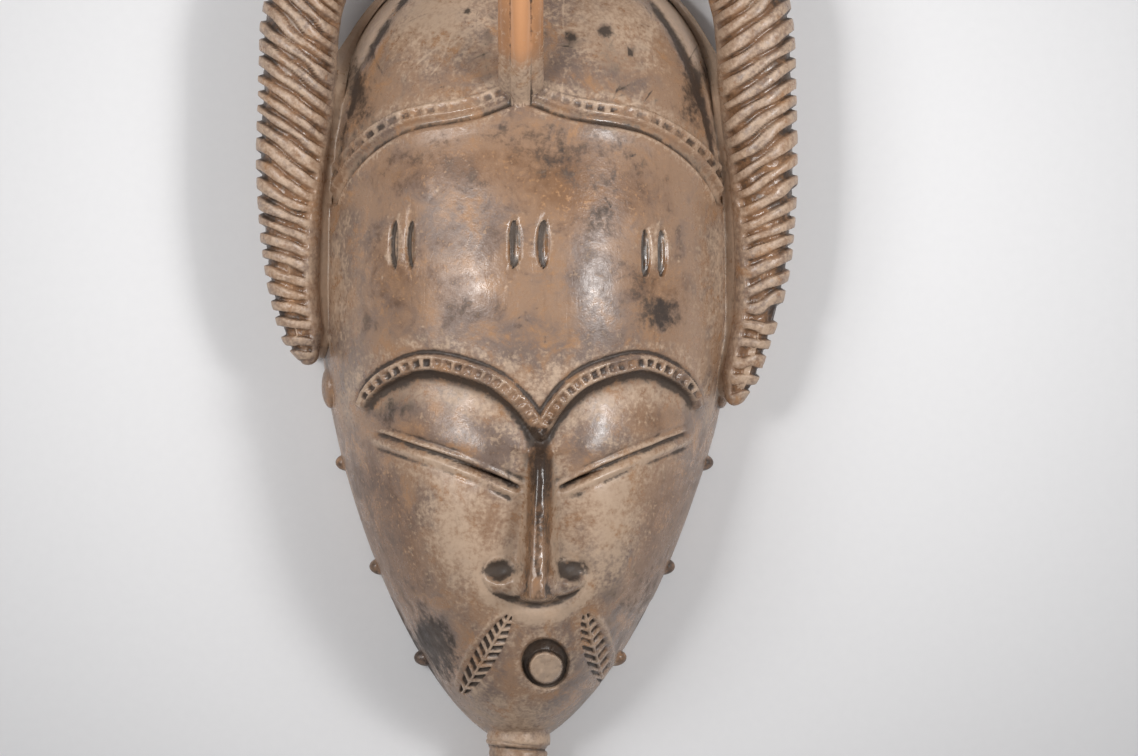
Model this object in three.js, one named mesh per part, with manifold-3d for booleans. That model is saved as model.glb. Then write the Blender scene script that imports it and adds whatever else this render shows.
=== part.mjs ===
// A carved wooden face mask in the Baule manner: an egg-shaped hollow face with arched brows, slit eyes and a
// small round mouth, two ridged horns that curve up round the crown, a bird whose long bill comes down to the
// hairline, knobs along the jaw and a short post of beard. The whole mask is one block of wood.
// It lies on its flat back rim. +Z is the way the face looks, +Y runs from the chin to the crown, and +X is the
// viewer's right. Lengths are millimetres.
import * as THREE from "three";
import { mergeVertices } from "three/addons/utils/BufferGeometryUtils.js";
import Module from "manifold-3d";

const wasm = await Module();
wasm.setup();

// Driving sizes of the head. Its widest row is y = 0 while it is carved.
const HEAD_WIDTH = 167;
const HEAD_DEPTH = 98;
const CROWN_LENGTH = 153;
const JAW_LENGTH = 171;
const WALL = 9;
const CHIN_BLOCK = 14;

// The carving, as it stands out of the face or goes into it.
const FOREHEAD_SWELL = 3;
const BROW_WIDTH = 6;
const BROW_HEIGHT = 2.4;
const SOCKET_DEPTH = 6;
const SLIT_WIDTH = 1.8;
const SLIT_GROOVE = 2.5;
const LID_GROOVE = 1.6;
const NOSE_HEIGHT = 17;
const NOSE_WIDTH = 15;
const NOSTRIL_SPREAD = 43;
const NOSTRIL_LENGTH = 17;
const NOSTRIL_HEIGHT = 6;
const MOUTH_WIDTH = 14.5;
const MOUTH_RING = 2.1;
const MOUTH_RING_SHIFT = 1.5;
const MOUTH_RING_DEPTH = 4;
const MOUTH_HEIGHT = 3.8;
const SCAR_LENGTH = 19;
const SCAR_WIDTH = 4.4;
const SCAR_DEPTH = 2;
const LEAF_WIDTH = 10;
const LEAF_DEPTH = 1.4;
const LEAF_STROKES = 8;
const LEAF_RIB = 1.4;
const HAIR_BAND_WIDTH = 5.4;
const HAIR_BAND_HEIGHT = 1.8;
const HAIR_CHANNEL_WIDTH = 3.4;
const HAIR_CHANNEL_DEPTH = 2.4;

// The horns, the bird on the crown, the knobs, the ears and the beard.
const HORN_THICKNESS = 31.5;
const HORN_RIDGES = 48;
const HORN_RIDGE_HEIGHT = 2;
const HORN_LIFT = 35;
const STRIP_WIDTH = 13;
const STRIP_HEIGHT = 35;
const BIRD_WIDTH = 34;
const BIRD_HEAD = 26;
const BIRD_LIFT = 111;
const BILL_WIDTH = 18;
const BILL_DEPTH = 20;
const KNOB_LENGTH = 7;
const KNOB_REACH = 3.2;
const KNOB_ROOT = 2;
const EAR_LENGTH = 18;
const BEARD_THICKNESS = 23;
const BEARD_LENGTH = 36;
const BEARD_LIFT = 8;

const HALF_WIDTH = HEAD_WIDTH / 2;
// How far a raised form is sunk into the wood it stands on, and how far a cutter stands clear of the surface.
const EMBED = 3;
const CLEAR = 1;
// The lowest that the carved side comes to the rim's plane.
const RIM_EDGE = 0.4;
const UP = new THREE.Vector3(0, 0, 1);

// The face was carved a little askew: its middle line, as shares of the jaw's length and of half the width.
const MIDDLE_LINE = [
  [-1.0, -0.043],
  [-0.81, 0.082],
  [-0.643, 0.053],
  [-0.264, 0.067],
  [0.18, 0.012],
  [0.508, -0.026],
  [0.9, -0.02],
];

// Lines on the face for one side: distance from the middle line over half the width, height over the jaw's length.
const BROW_LINE = [
  [0.0, -0.257],
  [0.09, -0.19],
  [0.2, -0.14],
  [0.36, -0.108],
  [0.53, -0.096],
  [0.68, -0.125],
  [0.77, -0.165],
  [0.8, -0.198],
];
const SLIT_LINE = [
  [0.1, -0.386],
  [0.25, -0.352],
  [0.42, -0.318],
  [0.58, -0.29],
  [0.735, -0.263],
];
const LID_LINE = [
  [0.12, -0.43],
  [0.27, -0.397],
  [0.42, -0.363],
  [0.57, -0.335],
  [0.72, -0.31],
];
const HAIR_LINE = [
  [0.0, 0.52],
  [0.1, 0.5],
  [0.2, 0.482],
  [0.34, 0.468],
  [0.46, 0.46],
  [0.6, 0.442],
  [0.77, 0.39],
  [0.88, 0.33],
  [0.935, 0.28],
];

// Pairs of upright scars on the forehead: middle of the pair, height and spacing, in the same shares.
const SCAR_PAIRS = [
  { across: -0.6, up: 0.178, spacing: 0.078 },
  { across: 0, up: 0.178, spacing: 0.134 },
  { across: 0.6, up: 0.158, spacing: 0.08 },
];

// Leaf scars beside the mouth, from their upper to their lower tip.
const LEAVES = [
  { upper: [-0.141, -0.685], lower: [-0.325, -0.868] },
  { upper: [0.235, -0.682], lower: [0.37, -0.851] },
];

// Knobs along the jaw, the ears above them, and the line that both horns follow up from their lower ends.
const KNOB_ROWS = [-0.33, -0.575, -0.79];
const EAR_ROW = -0.15;
const HORN_ENDS = [
  { side: -1, x: 1.04, y: -0.1 },
  { side: 1, x: 0.985, y: -0.195 },
];
const HORN_PATH = [
  [1.11, 0.051],
  [1.137, 0.281],
  [1.107, 0.519],
  [1.065, 0.753],
  [0.9, 0.913],
  [0.63, 1.044],
  [0.283, 1.122],
  [0.03, 1.139],
];

// How thick a horn is at each height, over HORN_THICKNESS.
const HORN_GIRTH = [
  [-0.2, 0.46],
  [-0.112, 0.48],
  [-0.042, 0.53],
  [0.051, 0.62],
  [0.122, 0.7],
  [0.281, 0.83],
  [0.519, 0.98],
  [0.753, 1.0],
  [0.913, 0.88],
  [1.044, 0.66],
  [1.122, 0.47],
  [1.139, 0.36],
];

// The smooth strip of wood that joins each horn to the side of the head.
const STRIP_PATH = [
  [1.01, -0.07],
  [1.036, 0.05],
  [1.036, 0.25],
  [1.02, 0.37],
  [0.965, 0.52],
  [0.885, 0.66],
];

// Its section: outward over half STRIP_WIDTH, and height over STRIP_HEIGHT. The top slopes down to the face.
const STRIP_SECTION = [
  [-1, 0.12],
  [0.9, 0.12],
  [1, 1],
  [0.3, 0.88],
  [-0.4, 0.68],
  [-1, 0.5],
];

// The bird from its tail to its head: along the head's crown, height over BIRD_LIFT, half width over half BIRD_WIDTH.
const BIRD_SPINE = [
  [1.268, 0.31, 0.45],
  [1.16, 0.41, 0.82],
  [1.05, 0.49, 1.0],
  [0.955, 0.58, 0.88],
  [0.922, 0.74, 0.58],
  [0.935, 0.88, 0.5],
  [0.96, 1.0, 0.6],
];

const clamp01 = (t) => Math.min(1, Math.max(0, t));
const mix = (a, b, t) => a + (b - a) * t;

function ease(from, to, value) {
  const t = clamp01((value - from) / (to - from));
  return t * t * (3 - 2 * t);
}

// A smooth value through [key, value] pairs, with keys in rising order.
function through(pairs, key) {
  const last = pairs.length - 1;
  let i = 0;
  while (i < last - 1 && key > pairs[i + 1][0]) i += 1;
  const slope = (j) => {
    const a = pairs[Math.max(0, j - 1)];
    const b = pairs[Math.min(last, j + 1)];
    return (b[1] - a[1]) / (b[0] - a[0]);
  };
  const [x0, y0] = pairs[i];
  const [x1, y1] = pairs[i + 1];
  const step = x1 - x0;
  const t = clamp01((key - x0) / step);
  const rise = t * t * (3 - 2 * t);
  const leave = t * (1 - t) * (1 - t) * slope(i) * step;
  const arrive = t * t * (1 - t) * slope(i + 1) * step;
  return y0 + (y1 - y0) * rise + leave - arrive;
}

// The egg of the head. A hollow is the same egg with smaller sizes.
const OUTSIDE = { width: HEAD_WIDTH, depth: HEAD_DEPTH, crown: CROWN_LENGTH, jaw: JAW_LENGTH };
const INSIDE = {
  width: HEAD_WIDTH - 2 * WALL,
  depth: HEAD_DEPTH - WALL - SOCKET_DEPTH / 3,
  crown: CROWN_LENGTH - WALL,
  jaw: JAW_LENGTH - WALL - CHIN_BLOCK,
};

function eggHalfWidth(egg, y) {
  if (y >= 0) return (egg.width / 2) * Math.pow(Math.max(0, 1 - Math.pow(y / egg.crown, 4)), 0.5);
  return (egg.width / 2) * Math.pow(Math.max(0, 1 - Math.pow(-y / egg.jaw, 1.45)), 0.6);
}

function eggHeight(egg, y) {
  const t = y >= 0 ? y / egg.crown : -y / egg.jaw;
  return egg.depth * Math.pow(Math.max(0, 1 - Math.pow(t, 2.4)), 0.47);
}

// The outline leans a little to one side towards the chin.
const lean = (y) => -0.043 * HALF_WIDTH * clamp01(-y / JAW_LENGTH);

// Height of the plain egg over a point of the plan.
function eggTop(egg, x, y) {
  const half = Math.max(1e-6, eggHalfWidth(egg, y));
  const t = clamp01(Math.abs(x - lean(y)) / half);
  return eggHeight(egg, y) * Math.pow(1 - Math.pow(t, 2.3), 1 / 2.1);
}

// Distance from the carved middle line, which runs back to the outline's own middle at the sides.
function acrossFace(x, y) {
  const half = Math.max(1e-6, eggHalfWidth(OUTSIDE, y));
  const t = clamp01(Math.abs(x) / half);
  return x - through(MIDDLE_LINE, y / JAW_LENGTH) * HALF_WIDTH * (1 - t * t);
}

function placeAcross(across, y) {
  let x = across;
  for (let pass = 0; pass < 4; pass += 1) x += across - acrossFace(x, y);
  return x;
}

// How far the face stands above or below the egg: a full forehead, and sockets under the brows and round the nose.
function softCarving(x, y) {
  const across = acrossFace(x, y);
  const u = Math.abs(across) / HALF_WIDTH;
  const v = y / JAW_LENGTH;
  const brow = through(BROW_LINE, u);
  const slit = through(SLIT_LINE, u);
  const below = (brow - v) / (brow - slit);
  const side = 1 - ease(0.66, 0.84, u);
  const hollow = ease(0, 0.2, below) * (1 - 0.8 * ease(0.2, 0.85, below)) * (1 - ease(1, 1.5, below));
  const besideNose = ease(-0.24, -0.32, v) * (1 - ease(-0.5, -0.7, v)) * (1 - ease(0.1, 0.34, u));
  const swell = Math.exp(-Math.pow((v - 0.06) / 0.2, 2)) * (1 - ease(0.2, 0.95, u));
  return FOREHEAD_SWELL * swell - SOCKET_DEPTH * Math.max(hollow * side, 0.7 * besideNose);
}

const faceTop = (x, y) => eggTop(OUTSIDE, x, y) + softCarving(x, y);

// A point that stands off the face by a distance square to the egg. It keeps just inside the outline.
function offFace(nearX, y, distance) {
  const reach = 1;
  const limit = 0.97 * eggHalfWidth(OUTSIDE, y);
  const x = Math.min(limit, Math.max(-limit, nearX));
  const slopeX = (eggTop(OUTSIDE, x + reach, y) - eggTop(OUTSIDE, x - reach, y)) / (2 * reach);
  const slopeY = (eggTop(OUTSIDE, x, y + reach) - eggTop(OUTSIDE, x, y - reach)) / (2 * reach);
  const square = new THREE.Vector3(-slopeX, -slopeY, 1).normalize();
  return new THREE.Vector3(x, y, faceTop(x, y)).addScaledVector(square, distance);
}

// A closed solid from rings of points, all with the same count. An end can be a single point.
function loft(rings) {
  const positions = [];
  const starts = [];
  for (const ring of rings) {
    starts.push(positions.length / 3);
    for (const p of ring) positions.push(p.x, p.y, p.z);
  }
  const triangles = [];
  for (let i = 0; i + 1 < rings.length; i += 1) {
    const a = rings[i].length;
    const b = rings[i + 1].length;
    const count = Math.max(a, b);
    for (let j = 0; j < count; j += 1) {
      const k = (j + 1) % count;
      const a0 = starts[i] + (a > 1 ? j : 0);
      const a1 = starts[i] + (a > 1 ? k : 0);
      const b0 = starts[i + 1] + (b > 1 ? j : 0);
      const b1 = starts[i + 1] + (b > 1 ? k : 0);
      if (a > 1) triangles.push(a0, a1, b0);
      if (b > 1) triangles.push(a1, b1, b0);
    }
  }
  const cap = (ring, start, flip) => {
    for (let j = 1; j + 1 < ring.length; j += 1) {
      if (flip) triangles.push(start, start + j, start + j + 1);
      else triangles.push(start, start + j + 1, start + j);
    }
  };
  cap(rings[0], starts[0], false);
  cap(rings[rings.length - 1], starts[rings.length - 1], true);
  const geometry = new THREE.BufferGeometry();
  geometry.setAttribute("position", new THREE.Float32BufferAttribute(positions, 3));
  geometry.setIndex(triangles);
  return solidFrom(geometry);
}

// A three.js geometry as a solid, turned right side out.
function solidFrom(geometry) {
  const bare = geometry.clone();
  bare.deleteAttribute("normal");
  bare.deleteAttribute("uv");
  const merged = mergeVertices(bare, 1e-4);
  const build = (indices) =>
    new wasm.Manifold(
      new wasm.Mesh({
        numProp: 3,
        vertProperties: new Float32Array(merged.attributes.position.array),
        triVerts: new Uint32Array(indices),
      }),
    );
  const indices = Array.from(merged.index.array);
  const solid = build(indices);
  return solid.volume() >= 0 ? solid : build(indices.reverse());
}

function addAll(solids) {
  return solids.reduce((sum, solid) => sum.add(solid));
}

// A ring of points round a centre, in the plane of two directions.
function ringAt(centre, right, up, rx, ry, sides, turn = 0) {
  const points = [];
  for (let j = 0; j < sides; j += 1) {
    const angle = (2 * Math.PI * (j + turn)) / sides;
    points.push(
      centre
        .clone()
        .addScaledVector(right, rx * Math.cos(angle))
        .addScaledVector(up, ry * Math.sin(angle)),
    );
  }
  return points;
}

// The head as rows of points from one rim over the top to the other, closed across the back.
function eggSolid(egg, carving, { columns, crown, jaw }, back) {
  const rows = [];
  for (let i = 1; i < jaw; i += 1) rows.push(-egg.jaw * Math.cos((Math.PI / 2) * (i / jaw)));
  rows.push(0);
  for (let i = 1; i < crown; i += 1) rows.push(egg.crown * Math.sin((Math.PI / 2) * (i / crown)));
  const end = (y) => [new THREE.Vector3(lean(y), y, back)];
  const rings = rows.map((y) => {
    const half = eggHalfWidth(egg, y);
    const high = eggHeight(egg, y);
    const ring = [];
    for (let j = 0; j <= columns; j += 1) {
      const angle = Math.PI * (j / columns - 0.5);
      const x = lean(y) + half * Math.sign(Math.sin(angle)) * Math.pow(Math.abs(Math.sin(angle)), 2 / 2.3);
      const z = high * Math.pow(Math.max(0, Math.cos(angle)), 2 / 2.1);
      const inside = j > 0 && j < columns;
      ring.push(new THREE.Vector3(x, y, inside ? Math.max(RIM_EDGE, z + carving(x, y)) : back));
    }
    return ring;
  });
  return loft([end(-egg.jaw), ...rings, end(egg.crown)]);
}

// Points of a line on the face, evenly spaced along it, for one side. Each has its direction and sideways.
function faceLine(line, side, count, from = 0, to = 1) {
  const curve = new THREE.CatmullRomCurve3(
    line.map(([u, v]) => new THREE.Vector3(u * HALF_WIDTH, v * JAW_LENGTH, 0)),
    false,
    "centripetal",
  );
  const points = [];
  for (let i = 0; i <= count; i += 1) {
    const t = mix(from, to, i / count);
    const flat = curve.getPointAt(t);
    const x = placeAcross(side * flat.x, flat.y);
    points.push(new THREE.Vector3(x, flat.y, 0));
  }
  return points.map((point, i) => {
    const before = points[Math.max(0, i - 1)];
    const after = points[Math.min(count, i + 1)];
    const along = after.clone().sub(before).normalize();
    const sideways = new THREE.Vector3(-along.y, along.x, 0);
    return { point, along, sideways, share: i / count };
  });
}

// A bar that follows a face line: width and heights are functions of the share of its length.
function barOnFace(stations, width, above, below, shift = () => 0) {
  const rings = stations.map(({ point, sideways, share }) => {
    const middle = point.clone().addScaledVector(sideways, shift(share));
    const half = width(share) / 2;
    const corner = (offset, lift) => {
      const p = middle.clone().addScaledVector(sideways, offset);
      return offFace(p.x, p.y, lift);
    };
    return [
      corner(-half, -below(share)),
      corner(half, -below(share)),
      corner(half * 0.7, above(share)),
      corner(-half * 0.7, above(share)),
    ];
  });
  return loft(rings);
}

// A sunk stroke with tapered ends and a V bottom, between two points of the plan.
function strokeCut(from, to, width, depth) {
  const along = to.clone().sub(from).normalize();
  const sideways = new THREE.Vector3(-along.y, along.x, 0);
  const at = (share, half, drop) => {
    const middle = from.clone().lerp(to, share);
    const surface = (offset) => {
      const p = middle.clone().addScaledVector(sideways, offset);
      return offFace(p.x, p.y, CLEAR * 0.8);
    };
    return [surface(-half), surface(half), offFace(middle.x, middle.y, -drop)];
  };
  const tip = (share) => {
    const p = from.clone().lerp(to, share);
    return [offFace(p.x, p.y, CLEAR * 0.4)];
  };
  return loft([tip(0), at(0.25, width / 2, depth), at(0.75, width / 2, depth), tip(1)]);
}

const onFace = (u, v) => new THREE.Vector3(placeAcross(u * HALF_WIDTH, v * JAW_LENGTH), v * JAW_LENGTH, 0);

function makeBrows() {
  const low = BROW_WIDTH * 0.35;
  return addAll(
    [-1, 1].map((side) =>
      barOnFace(
        faceLine(BROW_LINE, side, 12),
        (t) => mix(BROW_WIDTH, low, ease(0.8, 1, t)),
        (t) => BROW_HEIGHT * (1 - 0.6 * ease(0.85, 1, t)),
        () => EMBED,
      ),
    ),
  );
}

function makeHairBand() {
  const rise = (HAIR_BAND_WIDTH + HAIR_CHANNEL_WIDTH) / 2;
  return addAll(
    [-1, 1].map((side) =>
      barOnFace(
        faceLine(HAIR_LINE, side, 10),
        () => HAIR_BAND_WIDTH,
        () => HAIR_BAND_HEIGHT,
        () => EMBED,
        () => side * rise,
      ),
    ),
  );
}

function cutHairChannel() {
  return addAll(
    [-1, 1].map((side) =>
      barOnFace(
        faceLine(HAIR_LINE, side, 10, 0.02, 0.93),
        () => HAIR_CHANNEL_WIDTH,
        () => CLEAR,
        () => HAIR_CHANNEL_DEPTH,
      ),
    ),
  );
}

// The slits go right through the wall near the nose and run out as a groove towards the temples.
function cutEyes() {
  const cuts = [];
  for (const side of [-1, 1]) {
    cuts.push(
      barOnFace(
        faceLine(SLIT_LINE, side, 8),
        (t) => SLIT_WIDTH * (1 - 0.5 * ease(0.5, 1, t)),
        () => CLEAR,
        (t) => mix(WALL * 2.4, SLIT_GROOVE, ease(0.45, 0.7, t)),
      ),
      barOnFace(
        faceLine(LID_LINE, side, 8),
        () => LID_GROOVE,
        () => CLEAR,
        () => LID_GROOVE,
      ),
    );
  }
  return addAll(cuts);
}

// The nose widens from the brows to a flat tip, with a flared wing at each side.
function makeNose() {
  const top = -0.25;
  const tip = -0.643;
  const rings = [];
  const steps = 7;
  for (let i = 0; i <= steps; i += 1) {
    const t = i / steps;
    const v = mix(top, tip, t);
    const middle = onFace(0, v);
    const base = eggTop(OUTSIDE, middle.x, middle.y) - SOCKET_DEPTH - EMBED;
    const high = eggTop(OUTSIDE, middle.x, middle.y) + mix(0, NOSE_HEIGHT, Math.pow(t, 0.9));
    const half = NOSE_WIDTH * mix(0.34, 0.68, t);
    const ridge = NOSE_WIDTH * mix(0.08, 0.17, t);
    const flank = mix(ridge, half, 0.4);
    const flankHigh = mix(base + EMBED, high, 0.5);
    const at = (x, z) => new THREE.Vector3(middle.x + x, middle.y, z);
    rings.push([
      at(-half, base),
      at(half, base),
      at(flank, flankHigh),
      at(ridge, high),
      at(-ridge, high),
      at(-flank, flankHigh),
    ]);
  }
  const solids = [loft(rings)];
  for (const side of [-1, 1]) {
    const centre = onFace((side * NOSTRIL_SPREAD * 0.3) / HALF_WIDTH, -0.6);
    centre.z = eggTop(OUTSIDE, centre.x, centre.y);
    const wing = new THREE.SphereGeometry(1, 10, 6);
    wing.scale(NOSTRIL_SPREAD * 0.19, NOSTRIL_LENGTH / 2, NOSTRIL_HEIGHT);
    wing.rotateZ(side * 0.35);
    wing.translate(centre.x, centre.y, centre.z);
    solids.push(solidFrom(wing));
  }
  return addAll(solids);
}

// A round plug square to the back rim, at the mouth. Its ends are heights over the egg.
function mouthPlug(radius, up, from, to) {
  const centre = onFace(0.012, -0.805);
  const level = eggTop(OUTSIDE, centre.x, centre.y);
  const ring = (z, share) => {
    const middle = new THREE.Vector3(centre.x, centre.y + up, level + z);
    return ringAt(middle, new THREE.Vector3(1, 0, 0), new THREE.Vector3(0, 1, 0), radius * share, radius * share, 18);
  };
  return loft([ring(from, 1), ring(mix(from, to, 0.85), 1), ring(to, 0.9)]);
}

// Upright scars: each is an almond hollow with a slim bar left standing in it.
function cutScars() {
  const cuts = [];
  for (const pair of SCAR_PAIRS) {
    for (const half of [-0.5, 0.5]) {
      const u = pair.across + half * pair.spacing;
      const reach = SCAR_LENGTH / 2 / JAW_LENGTH;
      cuts.push(strokeCut(onFace(u, pair.up + reach), onFace(u, pair.up - reach), SCAR_WIDTH, SCAR_DEPTH));
    }
  }
  return addAll(cuts);
}

// Leaf scars: slanted strokes on each side of a plain middle rib.
function cutLeaves() {
  const cuts = [];
  for (const leaf of LEAVES) {
    const upper = onFace(...leaf.upper);
    const lower = onFace(...leaf.lower);
    const along = lower.clone().sub(upper);
    const length = along.length();
    along.normalize();
    const sideways = new THREE.Vector3(-along.y, along.x, 0);
    for (let i = 0; i < LEAF_STROKES; i += 1) {
      const share = (i + 0.8) / (LEAF_STROKES + 0.6);
      const reach = (LEAF_WIDTH / 2) * Math.sqrt(Math.sin(Math.PI * Math.min(0.97, share + 0.03)));
      for (const side of [-1, 1]) {
        const root = upper.clone().addScaledVector(along, share * length);
        const tip = root.clone().addScaledVector(along, -reach * 0.7);
        tip.addScaledVector(sideways, side * reach);
        root.addScaledVector(sideways, (side * LEAF_RIB) / 2);
        cuts.push(strokeCut(root, tip, (length / LEAF_STROKES) * 0.62, LEAF_DEPTH));
      }
    }
  }
  return addAll(cuts);
}

const hornLift = (t) => mix(HORN_LIFT, HORN_LIFT * 0.82, ease(0.5, 1, t));

// A horn: a bar of round section whose slanting ridges wrap its outer side.
function makeHorn({ side, x, y }) {
  const path = [[x, y], ...HORN_PATH].map(
    ([u, v]) => new THREE.Vector3(side * u * HALF_WIDTH, v * JAW_LENGTH, 0),
  );
  const curve = new THREE.CatmullRomCurve3(path, false, "centripetal");
  const length = curve.getLength();
  const radiusAt = (t) => {
    const girth = through(HORN_GIRTH, curve.getPointAt(t).y / JAW_LENGTH);
    return (HORN_THICKNESS / 2) * girth * mix(0.5, 1, ease(0, 0.05, t));
  };
  const sides = 6;
  const high = 0.92 / Math.sin(Math.PI / 3);
  const steps = HORN_RIDGES * 2;
  const rings = [];
  for (let i = 0; i <= steps; i += 1) {
    const ring = [];
    const t = i / steps;
    const slant = radiusAt(t) * mix(0.25, 0.5, ease(0.05, 0.45, t)) * (1 - ease(0.9, 1, t)) * ease(0, 0.03, t);
    for (let j = 0; j < sides; j += 1) {
      const angle = (2 * Math.PI * j) / sides;
      const outward = Math.cos(angle);
      const station = clamp01(t + (slant * outward) / length);
      const centre = curve.getPointAt(station);
      const along = curve.getTangentAt(station);
      const out = new THREE.Vector3(along.y, -along.x, 0).multiplyScalar(side);
      const ridged = ease(-0.95, -0.5, outward) * ease(-0.95, -0.35, Math.sin(angle));
      const radius = radiusAt(station);
      const inset = i % 2 === 0 ? HORN_RIDGE_HEIGHT * ridged * Math.min(1, radius / (HORN_THICKNESS * 0.3)) : 0;
      centre.z = hornLift(station);
      const reach = radius - inset;
      ring.push(centre.addScaledVector(out, reach * outward).addScaledVector(UP, high * reach * Math.sin(angle)));
    }
    rings.push(ring);
  }
  return loft(rings);
}

// The smooth wood left between a horn and the head, with its ends drawn in.
function makeStrip({ side }) {
  const path = STRIP_PATH.map(([u, v]) => new THREE.Vector3(side * u * HALF_WIDTH, v * JAW_LENGTH, 0));
  const curve = new THREE.CatmullRomCurve3(path, false, "centripetal");
  const shares = [0, 0.06, 0.2, 0.35, 0.5, 0.65, 0.8, 0.93, 1];
  const rings = shares.map((t) => {
    const full = Math.sqrt(1 - Math.pow(Math.abs(2 * t - 1), 8) * 0.85);
    const middle = curve.getPointAt(t);
    return STRIP_SECTION.map(([outward, high]) => {
      const top = STRIP_HEIGHT * mix(STRIP_SECTION[0][1], high, full);
      return new THREE.Vector3(middle.x + (side * outward * full * STRIP_WIDTH) / 2, middle.y, top);
    });
  });
  return loft(rings);
}

// A tube through stations of { p, rx, ry, facing }. Its section is [across, up] points in shares of rx and ry.
function tube(stations, section) {
  return loft(
    stations.map(({ p, rx, ry, facing }) => {
      const up = new THREE.Vector3(0, -facing.z, facing.y).normalize();
      return section.map(([x, y]) => p.clone().addScaledVector(up, ry * y).add(new THREE.Vector3(rx * x, 0, 0)));
    }),
  );
}

const roundSection = (sides) =>
  Array.from({ length: sides }, (_, j) => {
    const angle = (2 * Math.PI * (j + 0.5)) / sides;
    return [Math.cos(angle), Math.sin(angle)];
  });

// The bill has a narrow top that steps down to wider flanks.
const BILL_SECTION = [
  [1, 0],
  [0.72, 0.24],
  [0.48, 0.28],
  [0.3, 0.68],
  [0, 1],
  [-0.3, 0.68],
  [-0.48, 0.28],
  [-0.72, 0.24],
  [-1, 0],
  [-0.7, -0.7],
  [0, -1],
  [0.7, -0.7],
];

// The bird sits on the crown with its tail between the horn tips, and its bill arches down to the hairline.
function makeBird() {
  const root = HAIR_LINE[0][1] * JAW_LENGTH;
  const middleX = onFace(0, HAIR_LINE[0][1]).x;
  const at = (y, z) => new THREE.Vector3(middleX, y, z);
  const spine = new THREE.CatmullRomCurve3(BIRD_SPINE.map(([y, z]) => at(y * CROWN_LENGTH, z * BIRD_LIFT)));
  const bodySteps = 12;
  const body = [];
  for (let i = 0; i <= bodySteps; i += 1) {
    const t = i / bodySteps;
    const station = t * (BIRD_SPINE.length - 1);
    const radius = (BIRD_WIDTH / 2) * through(BIRD_SPINE.map(([, , width], j) => [j, width]), station);
    body.push({ p: spine.getPoint(t), rx: radius, ry: radius * 0.92, facing: spine.getTangent(t) });
  }
  const headCentre = body[bodySteps].p;
  const head = new THREE.SphereGeometry(BIRD_HEAD / 2, 12, 8);
  head.scale(0.84, 1.15, 0.95);
  head.translate(headCentre.x, headCentre.y, headCentre.z);
  const bill = new THREE.CatmullRomCurve3([
    headCentre,
    at(mix(root, headCentre.y, 0.7), mix(faceTop(middleX, root), BIRD_LIFT, 0.98)),
    at(mix(root, headCentre.y, 0.35), mix(faceTop(middleX, root), BIRD_LIFT, 0.55)),
    at(root, faceTop(middleX, root) - BILL_DEPTH * 0.3),
  ]);
  const billSteps = 9;
  const billRings = [];
  for (let i = 0; i <= billSteps; i += 1) {
    const t = i / billSteps;
    billRings.push({
      p: bill.getPointAt(t),
      rx: (BILL_WIDTH / 2) * mix(1, 0.48, ease(0.74, 0.97, t)),
      ry: (BILL_DEPTH / 2) * mix(1, 0.8, t),
      facing: bill.getTangentAt(t),
    });
  }
  return addAll([tube(body, roundSection(10)), solidFrom(head), tube(billRings, BILL_SECTION)]);
}

// Knobs on the back rim of the jaw and the ears above them show just past the outline.
function makeKnobs() {
  const solids = [];
  const ball = (side, v, length, reach, z, sides) => {
    const y = v * JAW_LENGTH;
    const knob = new THREE.SphereGeometry(1, sides, 4);
    knob.scale(reach + KNOB_ROOT, length / 2, length / 2);
    knob.translate(lean(y) + side * (eggHalfWidth(OUTSIDE, y) - KNOB_ROOT), y, z);
    solids.push(solidFrom(knob));
  };
  for (const side of [-1, 1]) {
    for (const v of KNOB_ROWS) ball(side, v, KNOB_LENGTH, KNOB_REACH, KNOB_LENGTH, 6);
    ball(side, EAR_ROW, EAR_LENGTH, KNOB_REACH * 0.6, EAR_LENGTH, 8);
  }
  return addAll(solids);
}

// The beard: a collar under the chin, then a post that narrows and ends round.
function makeBeard() {
  const start = -JAW_LENGTH * 0.92;
  const end = -JAW_LENGTH * 0.98 - BEARD_LENGTH;
  const radius = BEARD_THICKNESS / 2;
  const profile = [
    [0, 0.8],
    [0.14, 1.04],
    [0.22, 1.13],
    [0.27, 1.12],
    [0.3, 1.0],
    [0.6, 0.95],
    [0.88, 0.85],
    [0.96, 0.66],
    [1, 0.2],
  ];
  const rings = profile.map(([t, share]) => {
    const centre = new THREE.Vector3(lean(-JAW_LENGTH), mix(start, end, t), radius + BEARD_LIFT);
    return ringAt(centre, new THREE.Vector3(1, 0, 0), UP, radius * share, radius * share, 14);
  });
  return loft(rings);
}

// How finely the head and its hollow are faceted.
const HEAD_FACETS = { columns: 22, crown: 8, jaw: 20 };
const HOLLOW_FACETS = { columns: 12, crown: 6, jaw: 8 };

const standing = addAll([
  eggSolid(OUTSIDE, softCarving, HEAD_FACETS, 0),
  makeBrows(),
  makeHairBand(),
  makeNose(),
  ...HORN_ENDS.map(makeHorn),
  ...HORN_ENDS.map(makeStrip),
  makeBird(),
  makeKnobs(),
  makeBeard(),
]);

const carved = standing
  .subtract(mouthPlug(MOUTH_WIDTH / 2 + MOUTH_RING, MOUTH_RING_SHIFT, -MOUTH_RING_DEPTH, MOUTH_WIDTH))
  .add(mouthPlug(MOUTH_WIDTH / 2, 0, -MOUTH_RING_DEPTH - EMBED, MOUTH_HEIGHT))
  .subtract(addAll([cutHairChannel(), cutEyes(), cutScars(), cutLeaves()]))
  .subtract(eggSolid(INSIDE, () => 0, HOLLOW_FACETS, -EMBED));

// Corners that cutting leaves closer together than this are drawn into one.
const WELD = 0.03;

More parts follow.
